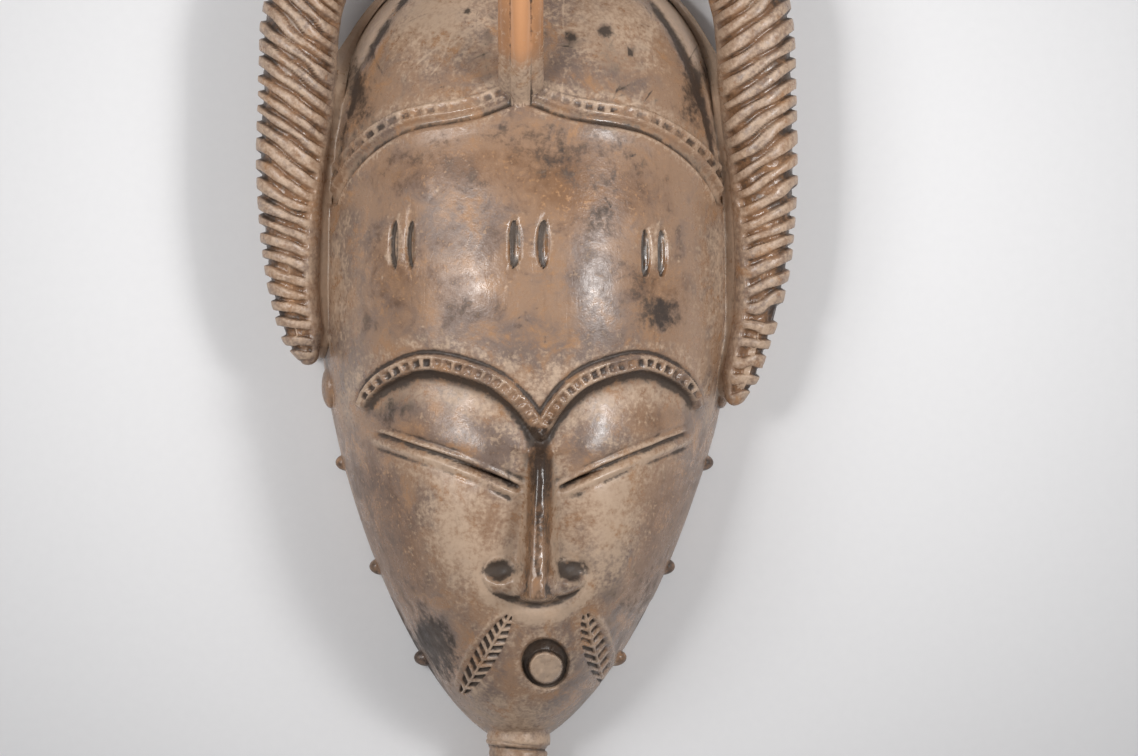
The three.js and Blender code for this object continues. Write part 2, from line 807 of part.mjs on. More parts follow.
// Runs each edge shorter than WELD into one point, and drops the triangles and folded pairs that this flattens.
function weldShortEdges(positions, triangles) {
  const owner = Array.from({ length: positions.length / 3 }, (_, i) => i);
  const find = (i) => {
    let root = i;
    while (owner[root] !== root) root = owner[root];
    return root;
  };
  const at = (i) => new THREE.Vector3().fromArray(positions, i * 3);
  for (let k = 0; k < triangles.length; k += 1) {
    const a = find(triangles[k]);
    const b = find(triangles[k % 3 === 2 ? k - 2 : k + 1]);
    if (a !== b && at(a).distanceTo(at(b)) < WELD) owner[Math.max(a, b)] = Math.min(a, b);
  }
  const kept = new Map();
  for (let k = 0; k < triangles.length; k += 3) {
    const corners = [find(triangles[k]), find(triangles[k + 1]), find(triangles[k + 2])];
    if (new Set(corners).size < 3) continue;
    const key = [...corners].sort((i, j) => i - j).join(" ");
    if (kept.has(key)) kept.delete(key);
    else kept.set(key, corners);
  }
  return [...kept.values()].flat();
}

// The solid as a geometry, set with the middle of its underside at the origin.
function geometryOf(solid) {
  const mesh = solid.getMesh();
  const positions = new Float32Array(mesh.numVert * 3);
  for (let i = 0; i < mesh.numVert; i += 1) {
    positions.set(mesh.vertProperties.subarray(i * mesh.numProp, i * mesh.numProp + 3), i * 3);
  }
  const geometry = new THREE.BufferGeometry();
  geometry.setAttribute("position", new THREE.BufferAttribute(positions, 3));
  geometry.setIndex(weldShortEdges(positions, mesh.triVerts));
  geometry.computeBoundingBox();
  const middle = geometry.boundingBox.getCenter(new THREE.Vector3());
  geometry.translate(-middle.x, -middle.y, -geometry.boundingBox.min.z);
  geometry.computeVertexNormals();
  return geometry;
}

const wood = new THREE.MeshStandardMaterial({ color: 0x86715d, roughness: 0.5, metalness: 0 });
const mask = new THREE.Mesh(geometryOf(carved), wood);
mask.name = "mask";

const model = new THREE.Group();
model.add(mask);
export default model;
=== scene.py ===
import math

import bpy
import numpy as np
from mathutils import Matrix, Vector, kdtree


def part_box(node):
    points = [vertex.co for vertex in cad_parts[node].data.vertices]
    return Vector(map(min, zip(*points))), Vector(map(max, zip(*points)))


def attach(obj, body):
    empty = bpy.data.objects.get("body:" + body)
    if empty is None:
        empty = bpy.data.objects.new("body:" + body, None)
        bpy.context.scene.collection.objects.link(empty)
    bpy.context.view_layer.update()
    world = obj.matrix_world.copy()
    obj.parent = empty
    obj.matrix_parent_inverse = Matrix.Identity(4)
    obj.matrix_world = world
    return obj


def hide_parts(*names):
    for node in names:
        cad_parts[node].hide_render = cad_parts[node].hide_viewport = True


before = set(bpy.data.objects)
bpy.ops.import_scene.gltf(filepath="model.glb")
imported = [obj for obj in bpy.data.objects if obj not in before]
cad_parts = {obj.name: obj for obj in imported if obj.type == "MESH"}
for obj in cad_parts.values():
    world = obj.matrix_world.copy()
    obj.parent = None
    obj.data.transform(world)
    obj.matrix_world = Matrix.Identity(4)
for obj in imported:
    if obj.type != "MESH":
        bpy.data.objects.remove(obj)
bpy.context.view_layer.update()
MM = 0.001

# Driving sizes of the head, the same as the solid's.
HEAD_WIDTH = 167.0
HEAD_DEPTH = 98.0
CROWN_LENGTH = 153.0
JAW_LENGTH = 171.0
WALL = 9.0
CHIN_BLOCK = 14.0
SOCKET_DEPTH = 6.0
FOREHEAD_SWELL = 3.0
HALF_WIDTH = HEAD_WIDTH / 2

# The carving on the face. Rows and places are shares of the head, as in the tables below.
BROW_WIDTH = 6.0
BROW_HEIGHT = 2.4
BROW_PUNCHES = 3.9
NOSE_HEIGHT = 17.0
NOSE_WIDTH = 15.0
NOSE_TOP = -0.25
NOSE_TIP = -0.643
NOSTRIL_ROW = -0.595
NOSTRIL_SPREAD = 43.0
NOSTRIL_LIFT = 5.0
NOSTRIL_DEPTH = 5.4
MOUTH_PLACE = (0.012, -0.805)
MOUTH_WIDTH = 14.5
MOUTH_RING = 2.1
MOUTH_HEIGHT = 3.8
MOUTH_DEPTH = 3.6
SCAR_LENGTH = 19.0
SCAR_WIDTH = 4.8
SCAR_DEPTH = 2.1
LEAF_WIDTH = 10.0
LEAF_STROKE = 3.5
LEAF_DEPTH = 1.3
SLIT_WIDTH = 1.8
SLIT_SLANT = 0.42
SLIT_OPENING = 0.95
# How far along each eye slit goes through the wall, on the left and on the right of the face.
SLIT_THROUGH = {-1: 0.46, 1: 0.34}
HAIR_BAND_WIDTH = 5.4
HAIR_CHANNEL_WIDTH = 4.4
HAIR_CHANNEL_DEPTH = 2.3
HAIR_PUNCHES = 5.0
SCRATCH_DEPTH = 0.14
SCRATCHES = 120
SCRATCHES_ON_CAP = 85

# The horns, the bird, the knobs, the ears and the beard.
HORN_THICKNESS = 31.5
HORN_RIDGES = {-1: 41, 1: 38}
HORN_RIDGE_HEIGHT = 2.0
HORN_LIFT = 35.0
STRIP_WIDTH = 16.0
STRIP_HEIGHT = 41.0
BIRD_WIDTH = 34.0
BIRD_HEAD = 26.0
BIRD_EYE = (2.2, 2.6, 2.6)
BIRD_LIFT = 111.0
BILL_WIDTH = 18.0
BILL_DEPTH = 20.0
KNOB_LENGTH = 7.0
KNOB_REACH = 3.2
KNOB_ROOT = 2.0
EAR_LENGTH = 18.0
EAR_REACH = KNOB_REACH * 0.6
BEARD_THICKNESS = 23.0
BEARD_LENGTH = 36.0

# The face was carved a little askew: its middle line, as shares of the jaw's length and of half the width.
MIDDLE_LINE = [
    (-1.0, -0.043),
    (-0.81, 0.082),
    (-0.643, 0.053),
    (-0.264, 0.067),
    (0.18, 0.012),
    (0.508, -0.026),
    (0.9, -0.02),
]
# Lines on one side of the face: distance from the middle over half the width, height over the jaw's length.
BROW_LINE = [
    (0.0, -0.257),
    (0.09, -0.19),
    (0.2, -0.14),
    (0.36, -0.108),
    (0.53, -0.096),
    (0.68, -0.125),
    (0.77, -0.165),
    (0.8, -0.198),
]
SLIT_LINE = [
    (0.1, -0.386),
    (0.25, -0.352),
    (0.42, -0.318),
    (0.58, -0.29),
    (0.735, -0.263),
]
HAIR_LINE = [
    (0.0, 0.52),
    (0.1, 0.5),
    (0.2, 0.482),
    (0.34, 0.468),
    (0.46, 0.46),
    (0.6, 0.442),
    (0.77, 0.39),
    (0.88, 0.33),
    (0.935, 0.28),
]
# Pairs of upright scars: the middle of the pair, its height and its spacing, in the same shares.
SCAR_PAIRS = [(-0.6, 0.178, 0.078), (0.0, 0.178, 0.134), (0.6, 0.158, 0.08)]
LEAVES = [((-0.141, -0.685), (-0.325, -0.868)), ((0.235, -0.682), (0.37, -0.851))]
KNOB_ROWS = [-0.33, -0.575, -0.79]
EAR_ROW = -0.15
HORN_ENDS = {-1: (1.04, -0.1), 1: (0.985, -0.195)}
HORN_PATH = [
    (1.11, 0.051),
    (1.137, 0.281),
    (1.107, 0.519),
    (1.065, 0.753),
    (0.9, 0.913),
    (0.63, 1.044),
    (0.283, 1.122),
    (0.03, 1.139),
]
# How thick a horn is at each height, over its full thickness.
HORN_GIRTH = [
    (-0.2, 0.46),
    (-0.112, 0.48),
    (-0.042, 0.53),
    (0.051, 0.62),
    (0.122, 0.7),
    (0.281, 0.83),
    (0.519, 0.98),
    (0.753, 1.0),
    (0.913, 0.88),
    (1.044, 0.66),
    (1.122, 0.47),
    (1.139, 0.36),
]
# The smooth strip that joins a horn to the side of the head.
STRIP_ENDS = {-1: (1.015, -0.085), 1: (0.965, -0.185)}
STRIP_PATH = [
    (1.036, 0.05),
    (1.036, 0.25),
    (1.02, 0.37),
    (0.96, 0.52),
    (0.87, 0.64),
    (0.79, 0.71),
    (0.71, 0.76),
    (0.6, 0.81),
]
# Its top: outward over half its width, and height over its full height. It slopes down to the face.
STRIP_TOP = [(-1.0, 0.8), (-0.5, 0.87), (0.0, 0.93), (1.0, 1.0)]
STRIP_FOOT = 0.1
# The bird from tail to head: along the crown, height over its lift, half width over half its full width.
BIRD_SPINE = [
    (1.268, 0.31, 0.45),
    (1.16, 0.41, 0.82),
    (1.05, 0.49, 1.0),
    (0.955, 0.58, 0.88),
    (0.922, 0.74, 0.58),
    (0.935, 0.88, 0.5),
    (0.96, 1.0, 0.6),
]

OUTSIDE = {"width": HEAD_WIDTH, "depth": HEAD_DEPTH, "crown": CROWN_LENGTH, "jaw": JAW_LENGTH}
INSIDE = {
    "width": HEAD_WIDTH - 2 * WALL,
    "depth": HEAD_DEPTH - WALL - SOCKET_DEPTH / 3,
    "crown": CROWN_LENGTH - WALL,
    "jaw": JAW_LENGTH - WALL - CHIN_BLOCK,
}
BEARD_START = -JAW_LENGTH * 0.92
BEARD_TIP = -JAW_LENGTH * 0.98 - BEARD_LENGTH

# What shows on the wood at each point: pale dust, which also carries painted sheen and highlights; dark
# stain, which also carries painted shade; hand polish, bare warm wood and rusty brown.
COATS = ("dust", "stain", "polish", "warm", "rust")

# How finely the pieces are made: rows of points along each, for the head on jaw and crown, and columns.
LINE_ROWS = 220
POINTS_AT_ONCE = 20000
HEAD_ROWS = (370, 330)
HEAD_COLUMNS = 420
HOLLOW_ROWS = (70, 60)
HOLLOW_COLUMNS = 110
HORN_ROWS = 640
HORN_COLUMNS = 100
STRIP_ROWS = 260
STRIP_TOP_COLUMNS = 56
BIRD_ROWS = 110
BIRD_COLUMNS = 72
BILL_ROWS = 120
BILL_COLUMNS = 96
BEARD_COLUMNS = 72
MOST_TRIANGLES = 190000


# Plain number helpers

def ease(start, end, value):
    """A soft step from zero to one while the value goes from start to end."""
    t = np.clip((value - start) / (end - start), 0.0, 1.0)
    return t * t * (3 - 2 * t)


def fall(start, end, value):
    """The same step from one to zero."""
    return 1 - ease(start, end, value)


def mix(a, b, t):
    return a + (b - a) * t


def bell(value, width):
    """One where the value is zero, and near nothing at two widths to either side."""
    return np.exp(-((value / width) ** 2))


def circle(count):
    """The cosines and sines of evenly spaced angles, each as one row."""
    angle = np.linspace(0, 2 * np.pi, count, endpoint=False)[None, :]
    return np.cos(angle), np.sin(angle)


def directions(path):
    """The unit direction at each point of a path."""
    ahead = np.gradient(path, axis=0)
    return ahead / np.linalg.norm(ahead, axis=1, keepdims=True)


def through(pairs, key):
    """A smooth value through (key, value) pairs, with keys in rising order."""
    keys, values = np.array(pairs, float).T
    slopes = np.empty_like(values)
    slopes[1:-1] = (values[2:] - values[:-2]) / (keys[2:] - keys[:-2])
    slopes[0] = (values[1] - values[0]) / (keys[1] - keys[0])
    slopes[-1] = (values[-1] - values[-2]) / (keys[-1] - keys[-2])
    i = np.clip(np.searchsorted(keys, key) - 1, 0, len(keys) - 2)
    step = keys[i + 1] - keys[i]
    t = np.clip((key - keys[i]) / step, 0.0, 1.0)
    rise = t * t * (3 - 2 * t)
    leave = t * (1 - t) ** 2 * slopes[i] * step
    arrive = t * t * (1 - t) * slopes[i + 1] * step
    return values[i] + (values[i + 1] - values[i]) * rise + leave - arrive


def smooth_path(points, count):
    """Evenly spaced points on a centripetal curve through the given ones, with the length along it."""
    p = np.array(points, float)
    p = np.vstack([2 * p[0] - p[1], p, 2 * p[-1] - p[-2]])
    dense = []
    for i in range(1, len(p) - 2):
        a, b, c, d = p[i - 1 : i + 3]
        t0 = 0.0
        t1 = t0 + max(1e-6, np.linalg.norm(b - a)) ** 0.5
        t2 = t1 + max(1e-6, np.linalg.norm(c - b)) ** 0.5
        t3 = t2 + max(1e-6, np.linalg.norm(d - c)) ** 0.5
        t = np.linspace(t1, t2, 60, endpoint=i == len(p) - 3)[:, None]
        ab = (t1 - t) / (t1 - t0) * a + (t - t0) / (t1 - t0) * b
        bc = (t2 - t) / (t2 - t1) * b + (t - t1) / (t2 - t1) * c
        cd = (t3 - t) / (t3 - t2) * c + (t - t2) / (t3 - t2) * d
        abc = (t2 - t) / (t2 - t0) * ab + (t - t0) / (t2 - t0) * bc
        bcd = (t3 - t) / (t3 - t1) * bc + (t - t1) / (t3 - t1) * cd
        dense.append((t2 - t) / (t2 - t1) * abc + (t - t1) / (t2 - t1) * bcd)
    dense = np.vstack(dense)
    run = np.concatenate([[0.0], np.cumsum(np.linalg.norm(np.diff(dense, axis=0), axis=1))])
    even = np.linspace(0.0, run[-1], count)
    path = np.stack([np.interp(even, run, dense[:, k]) for k in range(dense.shape[1])], axis=1)
    return path, even


NOISE_CELLS = 32
noise_table = np.random.default_rng(41).random((NOISE_CELLS,) * 3)


def unevenness(x, y, z, cell, turn=0):
    """Smooth random values from -1 to 1, with bumps about one cell wide."""
    total = 0.0
    low = []
    part = []
    for k, value in enumerate((x, y, z)):
        scaled = np.asarray(value, float) / cell + 11.3 * (k + 1) + 5.7 * turn
        floor = np.floor(scaled)
        low.append(floor.astype(int))
        t = scaled - floor
        part.append(t * t * (3 - 2 * t))
    for i in (0, 1):
        for j in (0, 1):
            for k in (0, 1):
                weight = (part[0] if i else 1 - part[0]) * (part[1] if j else 1 - part[1])
                weight = weight * (part[2] if k else 1 - part[2])
                corner = tuple((low[n] + shift) % NOISE_CELLS for n, shift in enumerate((i, j, k)))
                total = total + weight * noise_table[corner]
    return 2 * total - 1


def blurred(field, cells):
    """A field on a grid, averaged over a square of cells each way, twice."""
    for axis in (0, 1, 0, 1):
        pad = [(0, 0), (0, 0)]
        pad[axis] = (cells + 1, cells)
        sums = np.cumsum(np.pad(field, pad, mode="edge"), axis=axis)
        high = np.take(sums, range(2 * cells + 1, sums.shape[axis]), axis=axis)
        low = np.take(sums, range(0, sums.shape[axis] - 2 * cells - 1), axis=axis)
        field = (high - low) / (2 * cells + 1)
    return field


# The egg of the head, with the powers that round its cross sections

ROUND_ACROSS = 2.3
ROUND_UP = 2.1
CHIN_LEAN = 0.043


def egg_half_width(egg, y):
    up = np.clip(1 - np.abs(y / egg["crown"]) ** 4, 0, None) ** 0.5
    down = np.clip(1 - np.abs(y / egg["jaw"]) ** 1.45, 0, None) ** 0.6
    return egg["width"] / 2 * np.where(y >= 0, up, down)


def egg_height(egg, y):
    t = np.where(y >= 0, y / egg["crown"], -y / egg["jaw"])
    return egg["depth"] * np.clip(1 - np.clip(t, 0, None) ** 2.4, 0, None) ** 0.47


def lean(y):
    """How far the chin is carved to one side."""
    return -CHIN_LEAN * HALF_WIDTH * np.clip(-y / JAW_LENGTH, 0, 1)


def egg_top(egg, x, y):
    half = np.maximum(1e-6, egg_half_width(egg, y))
    t = np.clip(np.abs(x - lean(y)) / half, 0, 1)
    return egg_height(egg, y) * (1 - t**ROUND_ACROSS) ** (1 / ROUND_UP)


def across_face(x, y):
    """The distance from the face's own middle line, which bends, while the egg's edge stays put."""
    half = np.maximum(1e-6, egg_half_width(OUTSIDE, y))
    t = np.clip(np.abs(x) / half, 0, 1)
    return x - through(MIDDLE_LINE, y / JAW_LENGTH) * HALF_WIDTH * (1 - t * t)


def place_across(across, y):
    """The plan place whose distance from the face's middle line is the given one."""
    x = float(across)
    for _ in range(4):
        x += across - float(across_face(np.array(x), np.array(float(y))))
    return x


def on_face(u, v):
    """The plan position of a point given in shares."""
    return place_across(u * HALF_WIDTH, v * JAW_LENGTH), v * JAW_LENGTH


def beside_face(side, shares):
    """The plan positions of points on one side, straight from their shares."""
    return [(side * u * HALF_WIDTH, v * JAW_LENGTH) for u, v in shares]


def top_at(x, y):
    """The height of the egg over one place."""
    return float(egg_top(OUTSIDE, np.array(x), np.array(y)))


def egg_rings(egg, rows, columns, back):
    """Rings of points over the egg from the chin to the crown, and the two end points."""
    down = -egg["jaw"] * np.sin(np.linspace(np.pi / 2, 0, rows[0] + 1))[1:]
    up = egg["crown"] * np.sin(np.linspace(0, np.pi / 2, rows[1] + 1))[1:-1]
    y = np.concatenate([down, up])[:, None]
    angle = np.linspace(-np.pi / 2, np.pi / 2, columns)[None, :]
    sine = np.sin(angle)
    x = lean(y) + egg_half_width(egg, y) * np.sign(sine) * np.abs(sine) ** (2 / ROUND_ACROSS)
    z = egg_height(egg, y) * np.clip(np.cos(angle), 0, None) ** (2 / ROUND_UP)
    z[:, 0] = back
    z[:, -1] = back
    ends = [(float(lean(np.array(-egg["jaw"]))), -egg["jaw"], back), (0.0, egg["crown"], back)]
    return np.stack([x, np.broadcast_to(y, x.shape), z], axis=-1), ends


def square_to(rings):
    """The outward direction at each point of a patch of rings."""
    along = np.gradient(rings, axis=0)
    around = np.gradient(rings, axis=1)
    square = np.cross(around, along)
    square /= np.maximum(1e-9, np.linalg.norm(square, axis=-1, keepdims=True))
    return square


class Line:
    """A line on one side of the face, with each point's distance from it and place along it."""

    def __init__(self, shares):
        self.path, self.run = smooth_path(beside_face(1, shares), LINE_ROWS)
        self.length = self.run[-1]
        self.ahead = directions(self.path)

    def measure(self, across, y, reach):
        """Distance above the line and length along it. Points out of reach get a distance of twice reach."""
        distance = np.full(across.shape, 2.0 * reach)
        along = np.zeros(across.shape)
        low = self.path.min(axis=0) - reach
        high = self.path.max(axis=0) + reach
        near = (across > low[0]) & (across < high[0]) & (y > low[1]) & (y < high[1])
        q = np.stack([across[near], y[near]], axis=1)
        found = np.empty((len(q), 2))
        for start in range(0, len(q), POINTS_AT_ONCE):
            part = q[start : start + POINTS_AT_ONCE]
            gap = ((part[:, None, :] - self.path[None, :, :]) ** 2).sum(axis=2)
            i = gap.argmin(axis=1)
            offset = part - self.path[i]
            ahead = self.ahead[i]
            step = (offset * ahead).sum(axis=1)
            side = ahead[:, 0] * offset[:, 1] - ahead[:, 1] * offset[:, 0]
            beyond = np.where((i == 0) | (i == len(self.path) - 1), step, 0.0)
            found[start : start + POINTS_AT_ONCE, 0] = np.sign(side) * np.hypot(side, beyond)
            found[start : start + POINTS_AT_ONCE, 1] = self.run[i] + step
        distance[near] = found[:, 0]
        along[near] = found[:, 1]
        return distance, along


class Carving:
    """What a patch of the face has cut into it or left on it, in millimetres, and what coats it.

    Lift is straight up and out is square to the egg. Across and aside are from the face's middle line.
    """

    def __init__(self, x, y, z):
        self.x = x
        self.y = y
        self.z = z
        self.across = across_face(x, y)
        self.aside = np.abs(self.across)
        self.u = self.aside / HALF_WIDTH
        self.v = y / JAW_LENGTH
        self.lift = np.zeros(x.shape)
        self.out = np.zeros(x.shape)
        for coat in COATS:
            setattr(self, coat, np.zeros(x.shape))

    def from_point(self, u, v):
        """How far each point lies across and up from a point given in shares."""
        x0, y0 = on_face(u, v)
        return self.x - x0, self.y - y0

    def uneven(self, cell, turn):
        return unevenness(self.x, self.y, self.z, cell, turn)

    def spot(self, u, v, wide, high, turn=0.0):
        """A soft round spot: one at its middle, and falling off over the given half sizes."""
        dx, dy = self.from_point(u, v)
        c = math.cos(turn)
        s = math.sin(turn)
        return np.exp(-(((dx * c + dy * s) / wide) ** 2) - ((dy * c - dx * s) / high) ** 2)


# The carving of the face, one function for each part of it. Plain numbers are millimetres or shares.

def carve_sockets(face):
    """Hollows under the brows and beside the nose, and the swell of the forehead over them, with painted
    shade just under the brows.
    """
    brow = through(BROW_LINE, face.u)
    slit = through(SLIT_LINE, face.u)
    below = (brow - face.v) / (brow - slit)
    side = fall(0.66, 0.84, face.u)
    hollow = ease(0.03, 0.2, below) * (1 - 0.8 * ease(0.2, 0.85, below)) * fall(1, 1.5, below)
    beside_nose = ease(-0.24, -0.32, face.v) * fall(-0.5, -0.7, face.v) * fall(0.1, 0.34, face.u)
    face.lift -= SOCKET_DEPTH * np.maximum(hollow * side, 0.7 * beside_nose)
    face.lift += FOREHEAD_SWELL * bell(face.v - 0.05, 0.17) * fall(0.2, 0.95, face.u)
    # Painted shade in the hollow just under each brow.
    face.stain += 0.5 * bell(below - 0.13, 0.1) * side


def carve_brows(face):
    """Raised bands with a row of punched squares between two rims."""
    line = Line(BROW_LINE)
    off, along = line.measure(face.aside, face.y, 12.0)
    half = BROW_WIDTH / 2 * (1 - 0.45 * ease(line.length * 0.82, line.length, along))
    share = np.abs(off) / half
    body = fall(0.86, 1.12, share) * fall(line.length - 1, line.length + 2, along)
    rims = ease(0.6, 0.74, share) * fall(0.88, 1.05, share)
    cell = np.abs((along / BROW_PUNCHES + 0.1 * np.sign(face.across)) % 1 - 0.5) * BROW_PUNCHES
    wobble = 0.25 * face.uneven(3.0, 2)
    punch = fall(1.0, 1.45, cell + wobble) * fall(0.38, 0.56, share + wobble * 0.3)
    punch *= fall(line.length - 5, line.length - 2, along) * body
    face.out += body * (BROW_HEIGHT - 0.35 + 0.35 * rims - 1.2 * punch)
    groove = bell(off - half - 1.3, 0.9) * ease(-1, 2, line.length - along)
    face.out -= 0.8 * groove
    uneven = 0.75 + 0.8 * face.uneven(7.0, 12)
    outer = ease(line.length * 0.25, line.length * 0.6, along)
    face.stain += 0.95 * groove + np.clip(punch * uneven, 0, 1) * mix(0.6, 1.1, outer)
    # Painted shade along the underside of each brow band.
    face.stain += 0.8 * bell(off + half + 1.2, 1.3) * ease(-1, 2, line.length - along)
    face.dust += 0.75 * body * (1 - punch) * np.clip(uneven, 0.4, 1.2)
    face.rust += 0.3 * body
    face.dust += 0.55 * bell(off - half - 5.0, 3.2)
    face.polish += 0.8 * rims * body * fall(line.length * 0.3, line.length * 0.6, along)


def carve_eyes(face):
    """Slits between an upper edge and a rounded lower lid."""
    line = Line(SLIT_LINE)
    off, along = line.measure(face.aside, face.y, 12.0)
    run = ease(-2.5, 1.5, along) * fall(line.length - 3, line.length + 3, along)
    strip = ease(-1.5, 3.0, along) * fall(line.length - 1, line.length + 5, along)
    slit = bell(off, SLIT_WIDTH * 0.62) * run
    hand = 0.8 + 0.7 * face.uneven(9.0, 21)
    outer = ease(line.length * 0.35, line.length * 0.75, along)
    upper_edge = mix(0.6, 1.2, outer) * bell(off - 1.8, 0.7) * run * hand
    face.out += upper_edge - 0.7 * bell(off - 3.6, 0.9) * run * hand
    face.out += bell(off + 2.7, 1.5) ** 2 * strip * mix(1.1, 0.6, outer) * hand
    face.out -= mix(0.9, 0.4, outer) * bell(off + 5.1, 0.7) * strip * hand
    face.out -= mix(2.6, 1.6, outer) * slit
    under_lid = 0.75 * bell(off + 5.5, 0.8) * strip * hand
    face.stain += 0.85 * slit + under_lid + 0.6 * bell(off - 3.9, 1.1) * run * hand
    face.dust += 0.8 * bell(off - 2.0, 0.8) * run * mix(0.5, 1, outer) + 0.7 * bell(off + 3.0, 1.5) * strip
    face.dust += 0.35 * bell(off + 9.0, 4.0) * strip


def carve_hairline(face):
    """A cut channel with a punched band above it, and the cap of hair set back a little."""
    line = Line(HAIR_LINE)
    off, along = line.measure(face.aside, face.y, 16.0)
    off = np.where((face.v > 0.56) & (off > 31), 99.0, off)
    channel = fall(0.2, 1.0, np.abs(off) / (HAIR_CHANNEL_WIDTH / 2 + 0.5))
    middle = off - (HAIR_BAND_WIDTH + HAIR_CHANNEL_WIDTH) / 2
    share = np.abs(middle) / (HAIR_BAND_WIDTH / 2)
    start = ease(4.0, 7.0, along) * fall(line.length - 3, line.length + 1, along)
    channel = channel * fall(line.length - 1, line.length + 2, along)
    body = fall(0.8, 1.15, share) * start
    rims = ease(0.52, 0.72, share) * fall(0.9, 1.1, share) * start
    cell = np.abs((along / HAIR_PUNCHES) % 1 - 0.5) * HAIR_PUNCHES
    wobble = 0.3 * face.uneven(4.0, 3)
    punch = fall(1.3, 1.8, cell + wobble) * fall(0.34, 0.55, share + wobble * 0.2) * body
    faint = mix(1.0, 0.55, ease(0, -1, face.across) * fall(30, 50, along))
    cap = ease(0.0, 3.0, off) * (off < 30) + (off >= 30) * (face.v > 0.3)
    face.out -= 0.7 * cap
    patchy = np.clip(0.85 + 0.6 * face.uneven(9.0, 13), 0.35, 1.2)
    punch = punch * patchy
    face.out += faint * body * (1.0 + 0.35 * rims * patchy - 0.9 * punch)
    face.out -= HAIR_CHANNEL_DEPTH * channel
    face.out += 0.5 * bell(off + 3.0, 1.4) * start
    face.stain += 0.75 * bell(off + 0.9, 1.3) * patchy + 0.55 * punch
    face.polish += 1.3 * bell(off + 0.2, 1.8) * fall(60, 90, along)
    face.dust += 0.7 * bell(off + HAIR_CHANNEL_WIDTH / 2 + 1.0, 0.8) * start * patchy
    face.dust += 0.6 * body * (1 - 0.6 * punch) * patchy + 0.5 * bell(off - HAIR_BAND_WIDTH - 4, 2.5) * start
    face.out += 0.6 * bell(off + 4.5, 2.5) * start
    face.stain += 0.3 * bell(off - HAIR_BAND_WIDTH - 7.5, 2.2) * start


def carve_crown_edge(face):
    """A smooth tan border round the cap, set off by a dark shallow groove."""
    share = np.abs(face.x - lean(face.y)) / np.maximum(1.0, egg_half_width(OUTSIDE, face.y))
    line = mix(0.925, 0.86, ease(0.3, 0.75, face.v))
    high = ease(0.3, 0.42, face.v)
    uneven = 0.7 + 0.6 * face.uneven(8.0, 14)
    groove = bell(share - line, mix(0.016, 0.034, ease(0.45, 0.75, face.v))) * high * uneven
    face.out -= 0.8 * groove
    face.stain += 1.2 * groove + 0.35 * bell(share - line + 0.05, 0.05) * high
    face.dust += 0.8 * ease(line + 0.01, line + 0.04, share) * high


def carve_nose(face):
    """A long narrow nose that grows from the brows to its tip, with a pale lip under it."""
    top = NOSE_TOP
    t = np.clip((face.v - top) / (NOSE_TIP - top), 0, 1)
    crest = NOSE_HEIGHT * t**0.9
    ridge = mix(1.2, 2.6, t)
    half = mix(NOSE_WIDTH * 0.3, NOSE_WIDTH * 0.68, t)
    flank = np.clip((face.aside - ridge) / (half - ridge), 0, 1)
    smile = NOSE_TIP + 0.00013 * face.aside**2
    end = ease(smile - 0.012, smile + 0.004, face.v)
    nose = (1 - flank) ** 1.35 * ease(top + 0.03, top - 0.03, face.v) * end
    face.lift += (crest + SOCKET_DEPTH * 0.7 * ease(top, top - 0.1, face.v)) * nose
    worn = 1 + 0.5 * face.uneven(3.0, 8)
    body = ease(top - 0.03, top - 0.1, face.v) * end
    ridge_top = bell(face.aside, ridge + 0.9) ** 2 * body
    dark = mix(0.95, 0.6, ease(-0.46, -0.58, face.v))
    face.stain += dark * ridge_top * worn + 0.6 * bell(face.aside - ridge - 1.4, 0.9) * body * worn
    face.polish += 1.2 * bell(face.aside, 2.4) * body
    face.rust += 0.8 * bell(face.aside - 5.5, 3.0) * body
    face.stain += 0.45 * bell(face.across + 12.5, 1.0) * body * fall(-0.45, -0.55, face.v)
    upper = ease(top + 0.01, top - 0.01, face.v)
    face.stain += 1.1 * bell(face.aside, 3.2) * upper * ease(top - 0.26, top - 0.1, face.v)
    face.rust += 0.8 * bell(face.aside, 8.0) * upper * ease(top - 0.4, top - 0.1, face.v)
    face.dust += 0.3 * bell(face.aside - 6.5, 2.2) * body
    under = bell(face.v - smile + 0.014, 0.011) * fall(13, 22, face.aside)
    face.lift -= 1.0 * under
    # Painted shade in the shallow cut under the nose.
    face.stain += 0.8 * under * (0.8 + 0.5 * face.uneven(4.0, 15))
    lip = bell(face.v - smile + 0.045, 0.018) * fall(18, 28, face.aside)
    face.dust += 0.85 * lip
    face.lift += 0.7 * lip


def carve_nostrils(face):
    """Wings that sweep out from the tip, each with a dark hollow on its outer side."""
    for side in (-1, 1):
        reach = 1.0 if side < 0 else 0.9
        dx, dy = face.from_point(side * NOSTRIL_SPREAD * 0.3 * reach / HALF_WIDTH, NOSTRIL_ROW)
        dx = dx * side
        dy = dy - 0.22 * dx
        wide = NOSTRIL_SPREAD * 0.2 * reach
        high = np.where(dy > 0, 8.8, 7.6) * reach
        r = np.hypot(dx / wide, dy / high)
        lobe = np.clip(1 - r**2.4, 0, 1) ** 0.7
        face.lift += NOSTRIL_LIFT * lobe
        away = ((dx - 3.4 + 0.35 * dy) / 5.3) ** 2 + ((dy - 2.8) / 4.6) ** 2
        cup = np.exp(-(away**1.6))
        face.lift -= NOSTRIL_DEPTH * cup
        outer = ease(-2.0, 3.0, dx + 0.6 * dy)
        rim = bell(r - 1.0, 0.1)
        face.lift += 0.5 * rim * outer
        face.dust += 0.5 * rim * outer + 0.5 * bell(r - 1.2, 0.12) * outer
        inner_rim = 0.7 * rim * (1 - outer) * ease(3.0, -3.0, dy)
        face.stain += 1.4 * cup + 0.15 * bell(r - 1.08, 0.07) * outer + inner_rim
        face.stain += 0.5 * bell(np.hypot(dx + 2.6, dy + 2.2) - 4.6, 0.7) * outer
        inner = lobe * (1 - np.clip(1.3 * cup, 0, 1))
        face.dust += 0.45 * inner
        face.polish += 1.3 * inner * ease(1.0, -4.0, dy)


